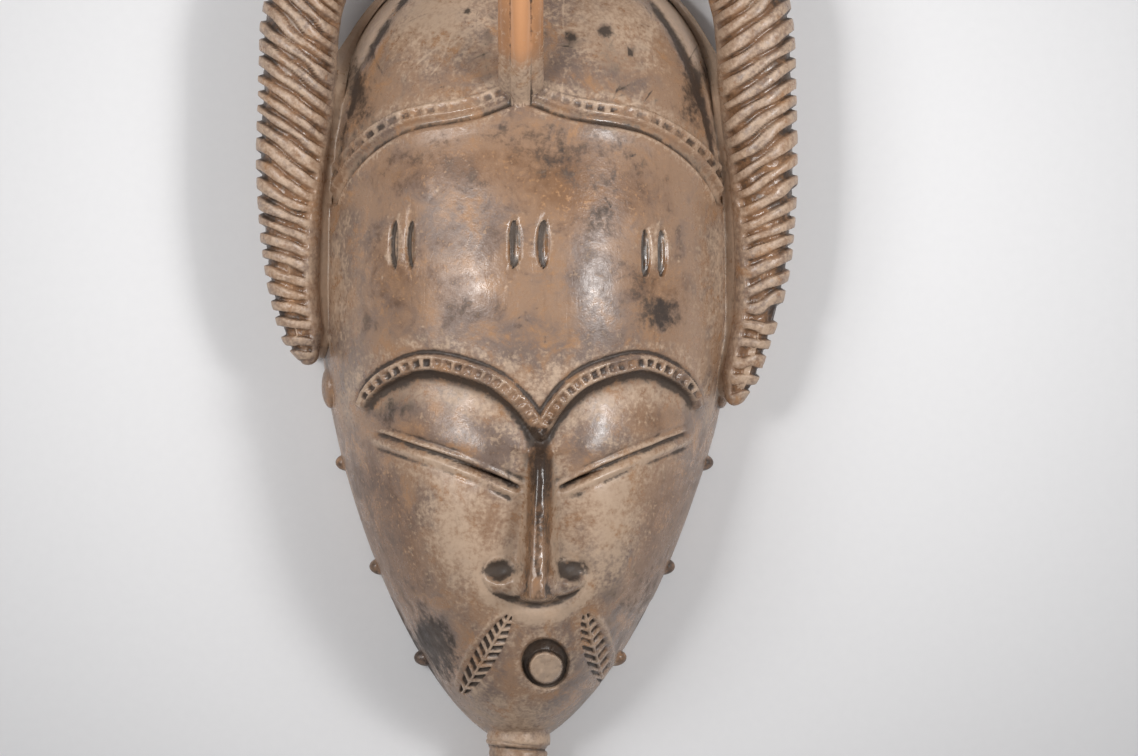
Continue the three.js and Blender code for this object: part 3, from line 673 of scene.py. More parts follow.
def carve_mouth(face):
    """A round button in a sunk ring."""
    dx, dy = face.from_point(*MOUTH_PLACE)
    r = np.hypot(dx, dy * 1.04) * (1 + 0.06 * unevenness(dx, dy, dx * 0, 4.0, 4))
    moat = np.hypot(dx + 0.4, dy - 2.4)
    edge = MOUTH_WIDTH / 2
    ring = edge + MOUTH_RING
    sunk = ease(ring + 0.9, ring - 1.2, np.minimum(moat, r + 0.6))
    button = fall(edge - 1.3, edge + 0.5, r)
    end = 0.7 * bell(r - edge + 1.5, 0.8) * ease(-3, 4, dy - dx) - 0.4 * bell(r, 4.0)
    end = end + 0.8 * unevenness(dx, dy, dx * 0, 2.0, 5)
    face.lift += -MOUTH_DEPTH * sunk * (1 - button) + button * (MOUTH_HEIGHT - 1.0 + end)
    well = sunk * fall(0.0, 0.6, button)
    # Painted shade: the sunk ring is darker towards its upper left.
    dark = ease(6.0, -2.0, dx * 0.7 - dy * 0.7)
    face.stain += (1.0 * dark + 0.42) * well + 0.8 * bell(r - edge - 0.1, 0.8)
    patchy = 1 + 0.5 * unevenness(dx, dy, dx * 0, 1.3, 6)
    face.dust += 1.4 * fall(edge - 1.6, edge - 0.3, r) * patchy
    face.dust += 0.5 * bell(moat - ring - 1.8, 1.6)
    face.polish += 0.8 * bell(r - edge + 1.5, 0.6) * ease(-2, 2, dy + dx * 0.4) + 0.4 * well


def carve_forehead_scars(face):
    """Pairs of upright almond cuts, each with a bar left standing in it."""
    for u, v, spacing in SCAR_PAIRS:
        for half in (-0.5, 0.5):
            dx, dy = face.from_point(u + half * spacing, v)
            bend = 0.006 * np.sign(u) if u else -0.004 * np.sign(half)
            dx = dx + bend * dy**2
            dy = dy / (SCAR_LENGTH / 2)
            almond = np.clip(1 - np.abs(dy) ** 2.4, 0, 1) ** 0.5
            wide = SCAR_WIDTH / 2 * (1.2 if u == 0 else 0.85)
            side = np.abs(dx) / (wide * np.maximum(almond, 0.05))
            cut = fall(0.5, 1.1, side) * (np.abs(dy) < 1)
            bar = bell(dx - 0.3 * wide, 0.42 * wide) * np.clip(almond * 1.4 - 0.4, 0, 1) * (np.abs(dy) < 1)
            face.out += -SCAR_DEPTH * cut + 1.5 * bar
            # Painted shade: each cut is darker on its left side than on its right.
            face.stain += cut * (1.1 - 0.5 * bar) * mix(1.1, 0.85, ease(-0.6, 0.8, dx / wide))
            face.rust += 1.6 * cut
            face.polish += 1.6 * bar
        dx, dy = face.from_point(u, v)
        wide = spacing * HALF_WIDTH * 0.5
        near = np.abs(dx)
        streaks = 0.8 + 0.9 * unevenness(face.x, face.y * 0.25, face.z, 1.6, 6)
        reach = ease(SCAR_LENGTH * 0.75, SCAR_LENGTH * 0.3, np.abs(dy - 1.5))
        halo = ease(wide + 7.0, wide - 1.0, near)
        if u == 0:
            halo = halo * (ease(wide - 2.6, wide - 0.6, near) * 0.7 + 0.3)
        face.dust += 0.6 * reach * halo * streaks


def carve_leaf_scars(face):
    """A leaf of slanting strokes on each side of the mouth, with a raised border along one side."""
    for side, (upper, lower) in zip((-1, 1), LEAVES):
        start = np.array(on_face(*upper))
        end = np.array(on_face(*lower))
        ahead = end - start
        length = np.linalg.norm(ahead)
        ahead /= length
        dx, dy = face.from_point(*upper)
        t = dx * ahead[0] + dy * ahead[1]
        w = dx * -ahead[1] + dy * ahead[0]
        share = np.clip(t / length, 0, 1)
        half = LEAF_WIDTH / 2 * np.sin(np.pi * (share * 0.94 + 0.03)) ** 0.55
        inside = fall(0.82, 1.0, np.abs(w) / np.maximum(half, 0.3)) * (t > -0.5) * (t < length)
        phase = ((t + 0.7 * np.abs(w) + 0.4 * (w > 0)) / LEAF_STROKE) % 1
        stroke = ease(0.08, 0.24, phase) * fall(0.66, 0.84, phase)
        stroke *= inside * ease(0.25, 0.8, np.abs(w))
        face.out -= LEAF_DEPTH * stroke
        face.stain += 0.85 * stroke
        face.dust += 0.6 * inside * (1 - stroke)
        border = bell(np.abs(w) - half - 1.6, 1.1) * ease(-2, 3, t) * fall(length - 3, length + 1, t)
        face.out += 0.7 * border * ease(-1.0, 1.0, w * side)
        face.dust += 0.5 * border


def carve_cheeks(face):
    """The cheeks end in a soft step above the mouth, and the skin round the mouth lies a little lower."""
    row = -0.69 + 0.0009 * face.aside
    step = ease(row, row - 0.03, face.v) * ease(12, 20, face.aside) * fall(0.97, 0.8, face.u + 0.5)
    face.out -= 0.8 * step * fall(-0.8, -0.92, face.v)
    face.out += 1.6 * face.spot(-0.42, -0.53, 15, 24, 0.35) + 1.6 * face.spot(0.42, -0.53, 14, 24, -0.35)
    # Painted shade in two dark patches by the cheeks' lower edge.
    face.stain += 0.75 * face.spot(-0.5, -0.735, 7, 4.5, 0.6) + 0.45 * face.spot(0.36, -0.64, 6, 4, -0.5)


def scratch_face(face):
    """Fine straight scratches, most of them on the cap, some filled with dust and some dark."""
    draw = np.random.default_rng(7)
    for n in range(SCRATCHES):
        on_cap = n < SCRATCHES_ON_CAP
        u = draw.uniform(-0.75, 0.8)
        v = draw.uniform(0.5, 0.85) if on_cap else draw.uniform(-0.05, 0.42)
        turn = draw.uniform(-0.9, 0.9) + (1.2 if draw.random() < 0.7 else 0.0)
        length = draw.uniform(6, 26) if on_cap else draw.uniform(2, 9)
        x0, y0 = on_face(u, v)
        near = (np.abs(face.x - x0) < length) & (np.abs(face.y - y0) < length)
        dx = face.x[near] - x0
        dy = face.y[near] - y0
        along = dx * math.cos(turn) + dy * math.sin(turn)
        aside = dy * math.cos(turn) - dx * math.sin(turn) + 0.01 * along**2
        line = bell(aside, 0.3) * fall(0.2, 0.5, np.abs(along) / length) * draw.uniform(0.3, 1.0)
        face.out[near] -= SCRATCH_DEPTH * line
        kind = face.dust if draw.random() < 0.6 else face.stain
        kind[near] += 0.75 * line


def stain_face(face):
    """Large soft areas where the patina is darker, rustier or dustier, with painted shade under the outer
    ends of the brows and painted sheen on the cheeks, and a few drips on the cap.

    Each has its place across and up the face, its half width and half height, its turn and its strength.
    """
    stains = [
        (-0.45, -0.77, 9, 14, 0.4, 1.3),
        (0.12, 0.36, 12, 6, 0.2, 0.7),
        (0.33, 0.23, 6, 6, 0.0, 0.7),
        (-0.25, 0.3, 9, 6, 0.0, 0.5),
        (-0.54, -0.66, 5, 10, 0.4, 0.4),
        # Painted shade under the outer ends of the brows.
        (-0.66, -0.2, 11, 6, 0.4, 0.75),
        (0.68, -0.21, 8, 5, -0.4, 0.5),
        (-0.4, -0.24, 12, 3, 0.25, 0.3),
        (0.5, 0.38, 14, 7, -0.5, 0.45),
        (0.5, -0.64, 8, 16, -0.5, 0.5),
        (0.05, 0.43, 36, 7, 0.0, 0.55),
        (-0.5, 0.38, 16, 7, 0.5, 0.45),
        (0.6, 0.02, 10, 8, 0.0, 1.2),
        (0.52, 0.1, 7, 6, 0.0, 0.5),
        (0.36, 0.31, 12, 8, -0.5, 0.6),
        (-0.3, 0.03, 14, 9, 0.3, 0.35),
        (0.0, 0.0, 14, 10, 0.3, 0.3),
        (-0.78, 0.0, 7, 14, 0.2, 0.35),
        (-0.86, 0.6, 5, 24, 0.35, 0.8),
        (0.86, 0.6, 5, 24, -0.35, 0.9),
        (0.42, 0.62, 7, 15, 0.5, 0.5),
        (-0.2, 0.62, 9, 7, 0.5, 0.35),
        (-0.35, -0.93, 9, 5, 0.3, 0.45),
        (0.25, -0.92, 6, 6, 0.3, 0.35),
        (0.12, -0.7, 12, 4, 0.0, 0.3),
        (-0.06, -0.29, 3, 8, 0.0, 0.5),
    ]
    rusts = [
        (-0.68, -0.52, 13, 36, 0.25, 1.4),
        (0.68, -0.5, 13, 32, -0.3, 1.2),
        (-0.3, 0.1, 22, 22, 0.0, 0.6),
        (0.3, 0.3, 22, 20, 0.0, 0.5),
        (-0.35, 0.36, 34, 10, 0.1, 0.7),
        (0.3, 0.3, 30, 12, -0.1, 0.6),
        (-0.66, 0.1, 16, 20, 0.0, 0.5),
        (0.6, 0.08, 16, 14, 0.0, 0.6),
        (-0.5, -0.24, 18, 6, 0.3, 0.6),
        (0.5, -0.22, 18, 6, -0.3, 0.5),
        (0.06, -0.2, 12, 10, 0.0, 0.3),
        (0.0, -0.95, 30, 12, 0.0, 0.4),
    ]
    dusts = [
        (0.0, -0.1, 16, 12, 0.0, 0.3),
        (-0.2, -0.9, 24, 10, 0.0, 0.3),
        (-0.4, 0.72, 30, 24, 0.0, 0.95),
        (0.45, 0.7, 26, 22, 0.0, 0.8),
        # Lighter cheeks: pale dust with painted sheen.
        (-0.38, -0.5, 14, 27, 0.25, 0.8),
        (0.35, -0.48, 13, 28, -0.2, 0.8),
        (0.0, -0.94, 26, 11, 0.0, 0.6),
        (0.0, -0.7, 30, 10, 0.0, 0.3),
        (-0.38, -0.2, 20, 8, 0.2, 0.3),
        (0.4, -0.2, 18, 8, -0.2, 0.3),
        (-0.85, 0.08, 8, 40, 0.0, 0.35),
        (0.85, 0.08, 8, 40, 0.0, 0.4),
        (-0.4, -0.3, 20, 6, 0.3, 0.25),
        (0.4, -0.28, 20, 6, -0.3, 0.25),
        # Lighter cheeks: pale dust with painted sheen.
        (-0.35, -0.48, 10, 22, 0.2, 0.25),
        (0.35, -0.45, 10, 22, -0.2, 0.3),
        (-0.92, 0.12, 4, 30, 0.0, 0.5),
        (0.93, 0.12, 4, 30, 0.0, 0.5),
    ]
    for layer, spots in ((face.stain, stains), (face.rust, rusts), (face.dust, dusts)):
        for u, v, wide, high, turn, amount in spots:
            layer += amount * face.spot(u, v, wide, high, turn)
    drips = [
        (0.125, 0.669, 1.8, 2.8),
        (0.23, 0.66, 2.6, 2.8),
        (-0.153, 0.669, 1.6, 2.4),
        (-0.263, 0.725, 1.2, 1.0),
        (-0.144, 0.716, 1.0, 1.8),
        (0.396, 0.68, 2.6, 1.9),
        (0.52, 0.63, 2.0, 1.6),
        (0.06, 0.55, 1.5, 2.2),
    ]
    ragged = 1 + 0.6 * face.uneven(1.5, 9)
    for u, v, wide, high in drips:
        face.stain += 1.5 * face.spot(u, v, wide, high, 0.4) * ragged
    face.stain += 1.1 * face.spot(-0.02, -1.1, 3.0, 1.6)


# Solids from rings of points

# The points of every piece with their coats, for the finished mesh to take its own from.
made = []


def solid(name, rings, ends, coats):
    """A closed mesh object from rings of points, and a note of what coats each point."""
    rows, columns, _ = rings.shape
    points = np.vstack([rings.reshape(-1, 3), np.array(ends, float)])
    i = np.arange(rows - 1)[:, None] * columns
    j = np.arange(columns)[None, :]
    k = (j + 1) % columns
    a, b, c, d = i + j, i + k, i + columns + k, i + columns + j
    faces = [np.stack(t, axis=-1).reshape(-1, 3) for t in ((a, b, c), (a, c, d))]
    first = rows * columns
    last = (rows - 1) * columns
    faces.append(np.stack([k[0], j[0], np.full(columns, first)], axis=-1))
    faces.append(np.stack([last + j[0], last + k[0], np.full(columns, first + 1)], axis=-1))
    faces = np.vstack(faces)
    p, q, r = (points[faces[:, n]] for n in range(3))
    if np.einsum("ij,ij->", p, np.cross(q, r)) < 0:
        faces = faces[:, ::-1]
    mesh = bpy.data.meshes.new(name)
    mesh.from_pydata(placed(points), [], faces)
    mesh.validate()
    piece = bpy.data.objects.new(name, mesh)
    bpy.context.scene.collection.objects.link(piece)
    layers = np.zeros((len(points), len(COATS)))
    for n, layer in enumerate(COATS):
        layers[:first, n] = np.broadcast_to(coats.get(layer, 0.0), (rows, columns)).ravel()
    made.append((placed(points), layers))
    return piece


low_corner, high_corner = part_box("mask")
SET_BACK = np.array([0.0, low_corner[1] / MM - BEARD_TIP, 0.0])


def placed(points):
    """Points of the carving in metres, where the solid holds them."""
    return (points + SET_BACK) * MM


def make_head():
    """The carved outside of the head, on its flat back."""
    rings, ends = egg_rings(OUTSIDE, HEAD_ROWS, HEAD_COLUMNS, 0.0)
    x, y, z = (rings[..., n] for n in range(3))
    face = Carving(x, y, z)
    for cut in (
        carve_sockets,
        carve_brows,
        carve_eyes,
        carve_hairline,
        carve_crown_edge,
        carve_nose,
        carve_nostrils,
        carve_mouth,
        carve_forehead_scars,
        carve_leaf_scars,
        carve_cheeks,
        scratch_face,
        stain_face,
    ):
        cut(face)
    settle = ease(0.0, 10.0, z)
    hand = 0.35 * unevenness(x, y, z, 26, 1) + 0.14 * unevenness(x, y, z, 9, 2)
    out = (face.out + hand) * settle
    lift = face.lift * settle
    depth = out + lift
    sunk = blurred(depth, 3) - depth
    sunk_wide = blurred(depth, 12) - depth
    coats = {
        "dust": face.dust + 0.35 * np.clip(sunk_wide, 0, 1.5),
        # Painted shade: the sunk places darkened, over the dark patina of the cuts.
        "stain": face.stain + 0.5 * np.clip(sunk, 0, 0.8),
        "polish": face.polish + 0.6 * np.clip(-sunk, 0, 0.8),
        "rust": face.rust,
    }
    carved = rings + square_to(rings) * out[..., None]
    carved[..., 2] = np.where(z > 0, np.maximum(carved[..., 2] + lift, 0.3), 0.0)
    # Darker low on the walls, within 14 mm of the back.
    coats["stain"] = coats["stain"] + 0.6 * ease(14, 0, z)
    return solid("head", carved, ends, coats)


def make_hollow():
    """What is cut out of the head from behind, with gouge marks."""
    rings, ends = egg_rings(INSIDE, HOLLOW_ROWS, HOLLOW_COLUMNS, -6.0)
    x, y, z = (rings[..., n] for n in range(3))
    gouge = np.abs(unevenness(x, y, z, 9, 4)) ** 0.7
    rings = rings + square_to(rings) * (-0.9 * gouge * ease(0, 8, z))[..., None]
    return solid("hollow", rings, ends, {"dust": 0.25, "stain": 0.25 + 0.3 * gouge, "warm": 0.3})


def make_slits():
    """Thin wedges that open the inner part of each eye slit through the wall."""
    wedges = []
    line = Line(SLIT_LINE)
    for side in (-1, 1):
        shares = np.linspace(0.02, SLIT_THROUGH[side], 24)
        rings = []
        for n in shares:
            i = int(n * (len(line.path) - 1))
            across, y = line.path[i]
            x = place_across(side * across, y)
            ahead = line.ahead[i] * (side, 1)
            done = (n - shares[0]) / (shares[-1] - shares[0])
            open_by = SLIT_OPENING * math.sin(math.pi * (0.12 + done * 0.86))
            top = top_at(x, y)
            ring = []
            for angle in np.linspace(0, 2 * np.pi, 12, endpoint=False):
                z = top + 6 if math.sin(angle) >= 0 else top - 26
                aside = math.cos(angle) * open_by + SLIT_SLANT * (top - 4 - z) * side
                ring.append((x - ahead[1] * aside, y + ahead[0] * aside, z))
            rings.append(ring)
        rings = np.array(rings)
        ends = [rings[0].mean(axis=0), rings[-1].mean(axis=0)]
        wedges.append(solid(f"slit{side}", rings, ends, {"stain": 0.55, "dust": 0.2}))
    return wedges


def horn_lift(t):
    """The height of the horn's middle, a little lower towards its tip."""
    return mix(HORN_LIFT, HORN_LIFT * 0.82, ease(0.5, 1, t))


def make_horn(side):
    """A horn whose ridges slant round it, with its inner side left plain."""
    path, run = smooth_path(beside_face(side, [HORN_ENDS[side], *HORN_PATH]), HORN_ROWS)
    length = run[-1]
    t = (run / length)[:, None]
    ahead = directions(path)
    out = np.stack([ahead[:, 1], -ahead[:, 0]], axis=1) * side
    outward, upward = circle(HORN_COLUMNS)

    def hand(out_share, up_share, cell, turn):
        """The carver's unevenness along and round the horn."""
        return unevenness(run[:, None], out_share * outward, up_share * upward, cell, side * 3 + 7 + turn)

    radius = HORN_THICKNESS / 2 * through(HORN_GIRTH, path[:, 1:2] / JAW_LENGTH)
    radius = radius * mix(0.5, 1, ease(0, 0.05, t))
    slant = radius * mix(0.3, 0.64, ease(0.05, 0.45, t)) * fall(0.9, 1, t)
    drift = 0.3 * hand(5, 0, 13, 0) + 0.14 * hand(8, 4, 6, 1)
    phase = HORN_RIDGES[side] * (t - slant * outward / length) + drift
    gap = np.abs((phase + 0.5) % 1 - 0.5)
    wide = 0.1 * hand(8, 0, 6, 2)
    ridge = ease(0.14 + wide, 0.25 + wide, gap)
    inner_edge = mix(-0.5, -0.95, ease(0.12, 0.4, t))
    ridged = ease(inner_edge - 0.06, inner_edge + 0.1, outward) * ease(-0.95, -0.35, upward)
    ridged = ridged * ease(0.0, 0.015, t)
    inset = HORN_RIDGE_HEIGHT * np.minimum(1, radius / 9) * (1 - ridge) * ridged
    faceted = 0.7 * np.abs(hand(10, 10, 5, 4)) * (1 - ridge) * ridged
    crown = 0.12 * bell(gap - 0.5, 0.2) * ridge * ridged
    blunt = np.sqrt(np.clip(1 - (1 - np.clip(t / 0.012, 0.02, 1)) ** 2, 0, 1))
    reach = (radius - inset - faceted + crown + 0.2 * hand(8, 8, 4, 3)) * blunt
    rings = np.empty((HORN_ROWS, HORN_COLUMNS, 3))
    rings[..., 0] = path[:, 0:1] + out[:, 0:1] * reach * outward
    rings[..., 1] = path[:, 1:2] + out[:, 1:2] * reach * outward
    rings[..., 2] = horn_lift(t) + 0.92 * reach * upward
    top = ease(-0.5, 0.1, upward)
    groove = (1 - ridge) * ridged
    cut_edge = bell(gap - 0.2 - wide, 0.03) * ridged * (0.6 + 0.8 * hand(9, 0, 5, 5))
    # Painted highlight: a pale glint down the middle of each groove floor.
    painted_glint = bell(outward - 0.15, 0.45) * np.clip(0.75 + hand(7, 0, 4, 6), 0, 1)
    # Painted shade: grooves darker towards the outer side, and the horn darker on its underside and outer
    # edge.
    stain = groove * mix(0.56, 0.92, ease(0.35, 0.8, outward)) * (1 - 0.45 * painted_glint) + 0.75 * cut_edge
    stain = stain + 0.6 * ease(-0.2, -0.7, upward) + 0.2 * ease(0.8, 1.0, outward) + 0.1 * ridge
    coats = {
        "dust": (0.66 * ridge * ridged + 0.55 * (1 - ridged)) * top + 0.4 * groove * painted_glint,
        "stain": stain,
        "polish": 0.5 * groove,
        "rust": 0.8 * groove + 0.2 * ridge,
    }
    ends = [(path[0, 0], path[0, 1], HORN_LIFT), (path[-1, 0], path[-1, 1], horn_lift(1.0))]
    return solid(f"horn{side}", rings, ends, coats)


def make_strip(side):
    """The smooth wood left between a horn and the head, with its ends drawn in."""
    path, run = smooth_path(beside_face(side, [STRIP_ENDS[side], *STRIP_PATH]), STRIP_ROWS)
    t = (run / run[-1])[:, None]
    full = np.sqrt(1 - 0.85 * np.abs(2 * t - 1) ** 8) * mix(1.0, 0.28, ease(0.56, 0.84, t))
    outward = np.concatenate([np.linspace(-1, 1, STRIP_TOP_COLUMNS), np.linspace(1, -1, 20)[1:-1]])[None, :]
    on_top = (np.arange(outward.size) < STRIP_TOP_COLUMNS)[None, :]
    lines = unevenness(run[:, None] * 0.06, 9 * outward, 0 * t, 1.0, 5 + side)
    hand = 0.35 * unevenness(run[:, None], 3 * outward, 0 * t, 8, 8 + side)
    rise = mix(1.0, 0.45, ease(0.66, 1.0, t)) * np.minimum(1, full * 1.4)
    high = mix(STRIP_FOOT, through(STRIP_TOP, outward), rise)
    rings = np.empty((STRIP_ROWS, outward.size, 3))
    rings[..., 0] = path[:, 0:1] + side * outward * full * STRIP_WIDTH / 2
    rings[..., 1] = path[:, 1:2] + 0 * outward
    rings[..., 2] = STRIP_HEIGHT * np.where(on_top, high, STRIP_FOOT) + (hand + 0.12 * lines) * on_top
    foot = STRIP_HEIGHT * 0.3
    ends = [(path[0, 0], path[0, 1], foot), (path[-1, 0], path[-1, 1], foot)]
    coats = {"dust": 1.3 + 0.5 * lines, "stain": 0.5 * np.clip(-lines, 0, 1), "polish": 0.3}
    return solid(f"strip{side}", rings, ends, coats)


def tube(name, spine, wide, deep, columns, coats, bumps=None):
    """A tube along a spine that stays in the plane of y and z, with its width along x."""
    ahead = directions(spine)
    up = np.stack([np.zeros(len(spine)), -ahead[:, 2], ahead[:, 1]], axis=1)
    c, s = circle(columns)
    grow = np.zeros((len(spine), columns)) if bumps is None else bumps(c, s)
    rings = spine[:, None, :] + np.zeros((1, columns, 1))
    rings[..., 0] += (wide[:, None] + grow) * c
    rings += up[:, None, :] * ((deep[:, None] + grow) * s)[..., None]
    return solid(name, rings, [spine[0], spine[-1]], coats)


def ball(name, centre, sizes, rows, columns, coats):
    angle = np.linspace(0, np.pi, rows + 2)[1:-1][:, None]
    c, s = circle(columns)
    rings = np.empty((rows, columns, 3))
    rings[..., 0] = centre[0] + sizes[0] * np.sin(angle) * c
    rings[..., 1] = centre[1] + sizes[1] * np.cos(angle)
    rings[..., 2] = centre[2] + sizes[2] * np.sin(angle) * s
    ends = [(centre[0], centre[1] + sizes[1], centre[2]), (centre[0], centre[1] - sizes[1], centre[2])]
    return solid(name, rings, ends, coats)


def make_bird():
    """A bird sitting along the crown, with its head raised over the hair."""
    root = HAIR_LINE[0][1] * JAW_LENGTH
    middle_x = on_face(0, HAIR_LINE[0][1])[0]
    face_z = top_at(middle_x, root)
    points = [(middle_x, y * CROWN_LENGTH, z * BIRD_LIFT) for y, z, _ in BIRD_SPINE]
    spine, run = smooth_path(points, BIRD_ROWS)
    gaps = np.linalg.norm(np.diff(np.array(points), axis=0), axis=1)
    marks = np.concatenate([[0.0], np.cumsum(gaps)]) / gaps.sum()
    share = run / run[-1]
    radius = BIRD_WIDTH / 2 * through(list(zip(marks, [w for _, _, w in BIRD_SPINE])), share)
    radius *= np.sqrt(np.clip(1 - (1 - np.clip(share / 0.03, 0.05, 1)) ** 2, 0, 1))

    def wings(c, s):
        """Folded wings: a raised pad on each side with shallow feather cuts."""
        t = share[:, None]
        pad = ease(0.03, 0.14, t) * fall(0.36, 0.5, t)
        pad = pad * ease(0.15, 0.45, np.abs(c)) * ease(-0.7, -0.3, s)
        cuts = bell(((t * 30 + 2.2 * np.abs(s)) % 1) - 0.5, 0.16) * fall(0.24, 0.3, t)
        return 1.2 * pad - 0.7 * pad * cuts

    plumage = {"dust": 0.45, "stain": 0.3, "warm": 0.25}
    body = tube("bird_body", spine, radius, radius * 0.92, BIRD_COLUMNS, plumage, wings)
    centre = spine[-1]
    sizes = (BIRD_HEAD / 2 * 0.84, BIRD_HEAD / 2 * 1.15, BIRD_HEAD / 2 * 0.95)
    pieces = [body, ball("bird_head", centre, sizes, 40, 56, {"warm": 0.5, "polish": 0.5, "stain": 0.2})]
    for side in (-1, 1):
        eye = centre + np.array([side * sizes[0] * 0.86, -sizes[1] * 0.3, sizes[2] * 0.42])
        pieces.append(ball(f"bird_eye{side}", eye, BIRD_EYE, 14, 20, {"stain": 0.9, "polish": 0.7}))
    return [*pieces, *make_bill(centre, middle_x, root, face_z)]


def make_bill(centre, middle_x, root, face_z):
    """The bill from the bird's head down to the hairline: rounded flanks with a narrow raised top."""
    along = centre[1] - root
    rise = BIRD_LIFT - face_z
    bill_points = [
        tuple(centre),
        (middle_x, root + 0.7 * along, face_z + 0.98 * rise),
        (middle_x, root + 0.35 * along, face_z + 0.55 * rise),
        (middle_x, root, face_z - BILL_DEPTH * 0.3),
    ]
    bill, run = smooth_path(bill_points, BILL_ROWS)
    share = run / run[-1]
    wide = BILL_WIDTH / 2 * mix(1, 0.56, ease(0.89, 0.97, share))
    deep = BILL_DEPTH / 2 * mix(1, 0.8, share)
    bare = fall(0.5, 0.72, share)[:, None]
    c, s = circle(BILL_COLUMNS)
    line = bell(np.abs(c) - 0.49, 0.08) * (s > 0)
    seam = 0.4 * bell(c + 0.95, 0.12) * (s > -0.3)
    worn = unevenness(run[:, None] * 0.3, 6 * c, 0 * s, 3.0, 31)
    flanks = {
        "warm": 0.5 * bare * (1 + 0.5 * worn),
        "polish": 0.8 * bare,
        "dust": 0.55 * (1 - bare) + 0.1,
        "stain": (0.9 + 0.6 * worn) * line + 0.3 * np.clip(worn, 0, 1) + seam,
        "rust": 0.7 * bare + 0.2,
    }
    # Painted highlight: a pale column down the middle of the bill's raised top.
    painted_highlight = bell(c - 0.12, 0.36) * (s > 0.2) * np.clip(1.2 + worn, 0.4, 1.3)
    top = {
        "warm": 0.9 * bare,
        "polish": 1.3 * bare + 0.3,
        "dust": 0.8 * (1 - bare) + bare * painted_highlight,
        "stain": (1.1 + 0.8 * worn) * bell(np.abs(c) - 0.8, 0.1),
        "rust": 0.4 * bare,
    }
    band = np.full(len(run), BILL_WIDTH * 0.3)
    return [
        tube("bird_bill", bill, wide, deep * 0.74, BILL_COLUMNS, flanks),
        tube("bird_bill_top", bill, band, deep, BILL_COLUMNS, top),
    ]


def make_knobs():
    """The knobs along the jaw and the ear under each horn, all rooted in the head's edge."""
    on_knob = {"stain": 0.75, "rust": 0.1, "polish": 0.3}
    on_ear = {"dust": 0.4, "stain": 0.45}
    kinds = [(f"knob{n}", v, KNOB_REACH, KNOB_LENGTH, 16, 24, on_knob) for n, v in enumerate(KNOB_ROWS)]
    kinds.append(("ear", EAR_ROW, EAR_REACH, EAR_LENGTH, 30, 36, on_ear))
    pieces = []
    for side in (-1, 1):
        for name, v, reach, length, rows, columns, coats in kinds:
            y = v * JAW_LENGTH
            edge = float(lean(np.array(y)) + side * (egg_half_width(OUTSIDE, np.array(y)) - KNOB_ROOT))
            sizes = (reach + KNOB_ROOT, length / 2, length / 2)
            pieces.append(ball(f"{name}_{side}", (edge, y, length), sizes, rows, columns, coats))
    return pieces


def make_beard():
    """A collar under the chin and a post that narrows and ends round."""
    profile = [
        (0.0, 0.8),
        (0.14, 1.04),
        (0.22, 1.13),
        (0.27, 1.12),
        (0.3, 1.0),
        (0.34, 1.01),
        (0.6, 0.95),
        (0.88, 0.85),
        (0.96, 0.66),
        (1.0, 0.2),
    ]
    t = np.concatenate([np.linspace(0, 0.94, 80), 0.94 + 0.06 * np.sin(np.linspace(0.05, np.pi / 2, 24))])
    radius = BEARD_THICKNESS / 2 * through(profile, t)
    spine = np.stack([
        np.full(len(t), float(lean(np.array(-JAW_LENGTH)))),
        mix(BEARD_START, BEARD_TIP, t),
        np.full(len(t), BEARD_THICKNESS / 2 + 8),
    ], axis=1)
    x, z = circle(BEARD_COLUMNS)
    wander = 0.02 * x + 0.008 * unevenness(9 * x, 9 * z, 0 * x, 4.0, 3)
    cuts = bell(t[:, None] - 0.292 - wander, 0.014) + 0.6 * bell(t[:, None] - 0.25 - 1.5 * wander, 0.008)

    def collar(c, s):
        """Two cuts that wind round under the chin, on a post that is a little uneven."""
        return -0.9 * cuts + 0.3 * unevenness(9 * c, 60 * t[:, None], 9 * s, 5.0, 2)

    coats = {"stain": 0.15 + 0.9 * cuts, "dust": 0.5 + 0.4 * bell(t - 0.22, 0.05)[:, None], "rust": 0.3}
    return tube("beard", spine, radius, radius, BEARD_COLUMNS, coats, collar)


# Joining, thinning and coating the carved wood

def apply_modifiers(piece):
    """The piece's mesh with its modifiers worked in."""
    depsgraph = bpy.context.evaluated_depsgraph_get()
    mesh = bpy.data.meshes.new_from_object(piece.evaluated_get(depsgraph))
    old = piece.data
    piece.modifiers.clear()
    piece.data = mesh
    bpy.data.meshes.remove(old)


def combine(piece, others, operation):
    for other in others:
        cut = piece.modifiers.new(other.name, "BOOLEAN")
        cut.operation = operation
        cut.solver = "MANIFOLD"
        cut.object = other
    apply_modifiers(piece)
    for other in others:
        mesh = other.data
        bpy.data.objects.remove(other)
        bpy.data.meshes.remove(mesh)


def thin_out(piece):
    """Draws the mesh together where it is smooth until it is light enough."""
    mesh = piece.data
    mesh.calc_loop_triangles()
    count = len(mesh.loop_triangles)
    if count > MOST_TRIANGLES:
        less = piece.modifiers.new("less", "DECIMATE")
        less.ratio = MOST_TRIANGLES / count
        less.use_collapse_triangulate = True
        apply_modifiers(piece)


def coat(piece):
    """Gives each point of the finished mesh the coats of the nearest point that was carved."""
    points = np.vstack([p for p, _ in made])
    layers = np.vstack([c for _, c in made])
    tree = kdtree.KDTree(len(points))
    for n, point in enumerate(points):
        tree.insert(point, n)
    tree.balance()
    mesh = piece.data
    count = len(mesh.vertices)
    places = np.empty(count * 3)
    mesh.vertices.foreach_get("co", places)
    nearest = np.fromiter((tree.find(p)[1] for p in places.reshape(-1, 3)), int, count)
    for n, name in enumerate(COATS):
        layer = mesh.attributes.new(name, "FLOAT", "POINT")
        layer.data.foreach_set("value", np.clip(layers[nearest, n], 0, 1.5).astype(np.float32))


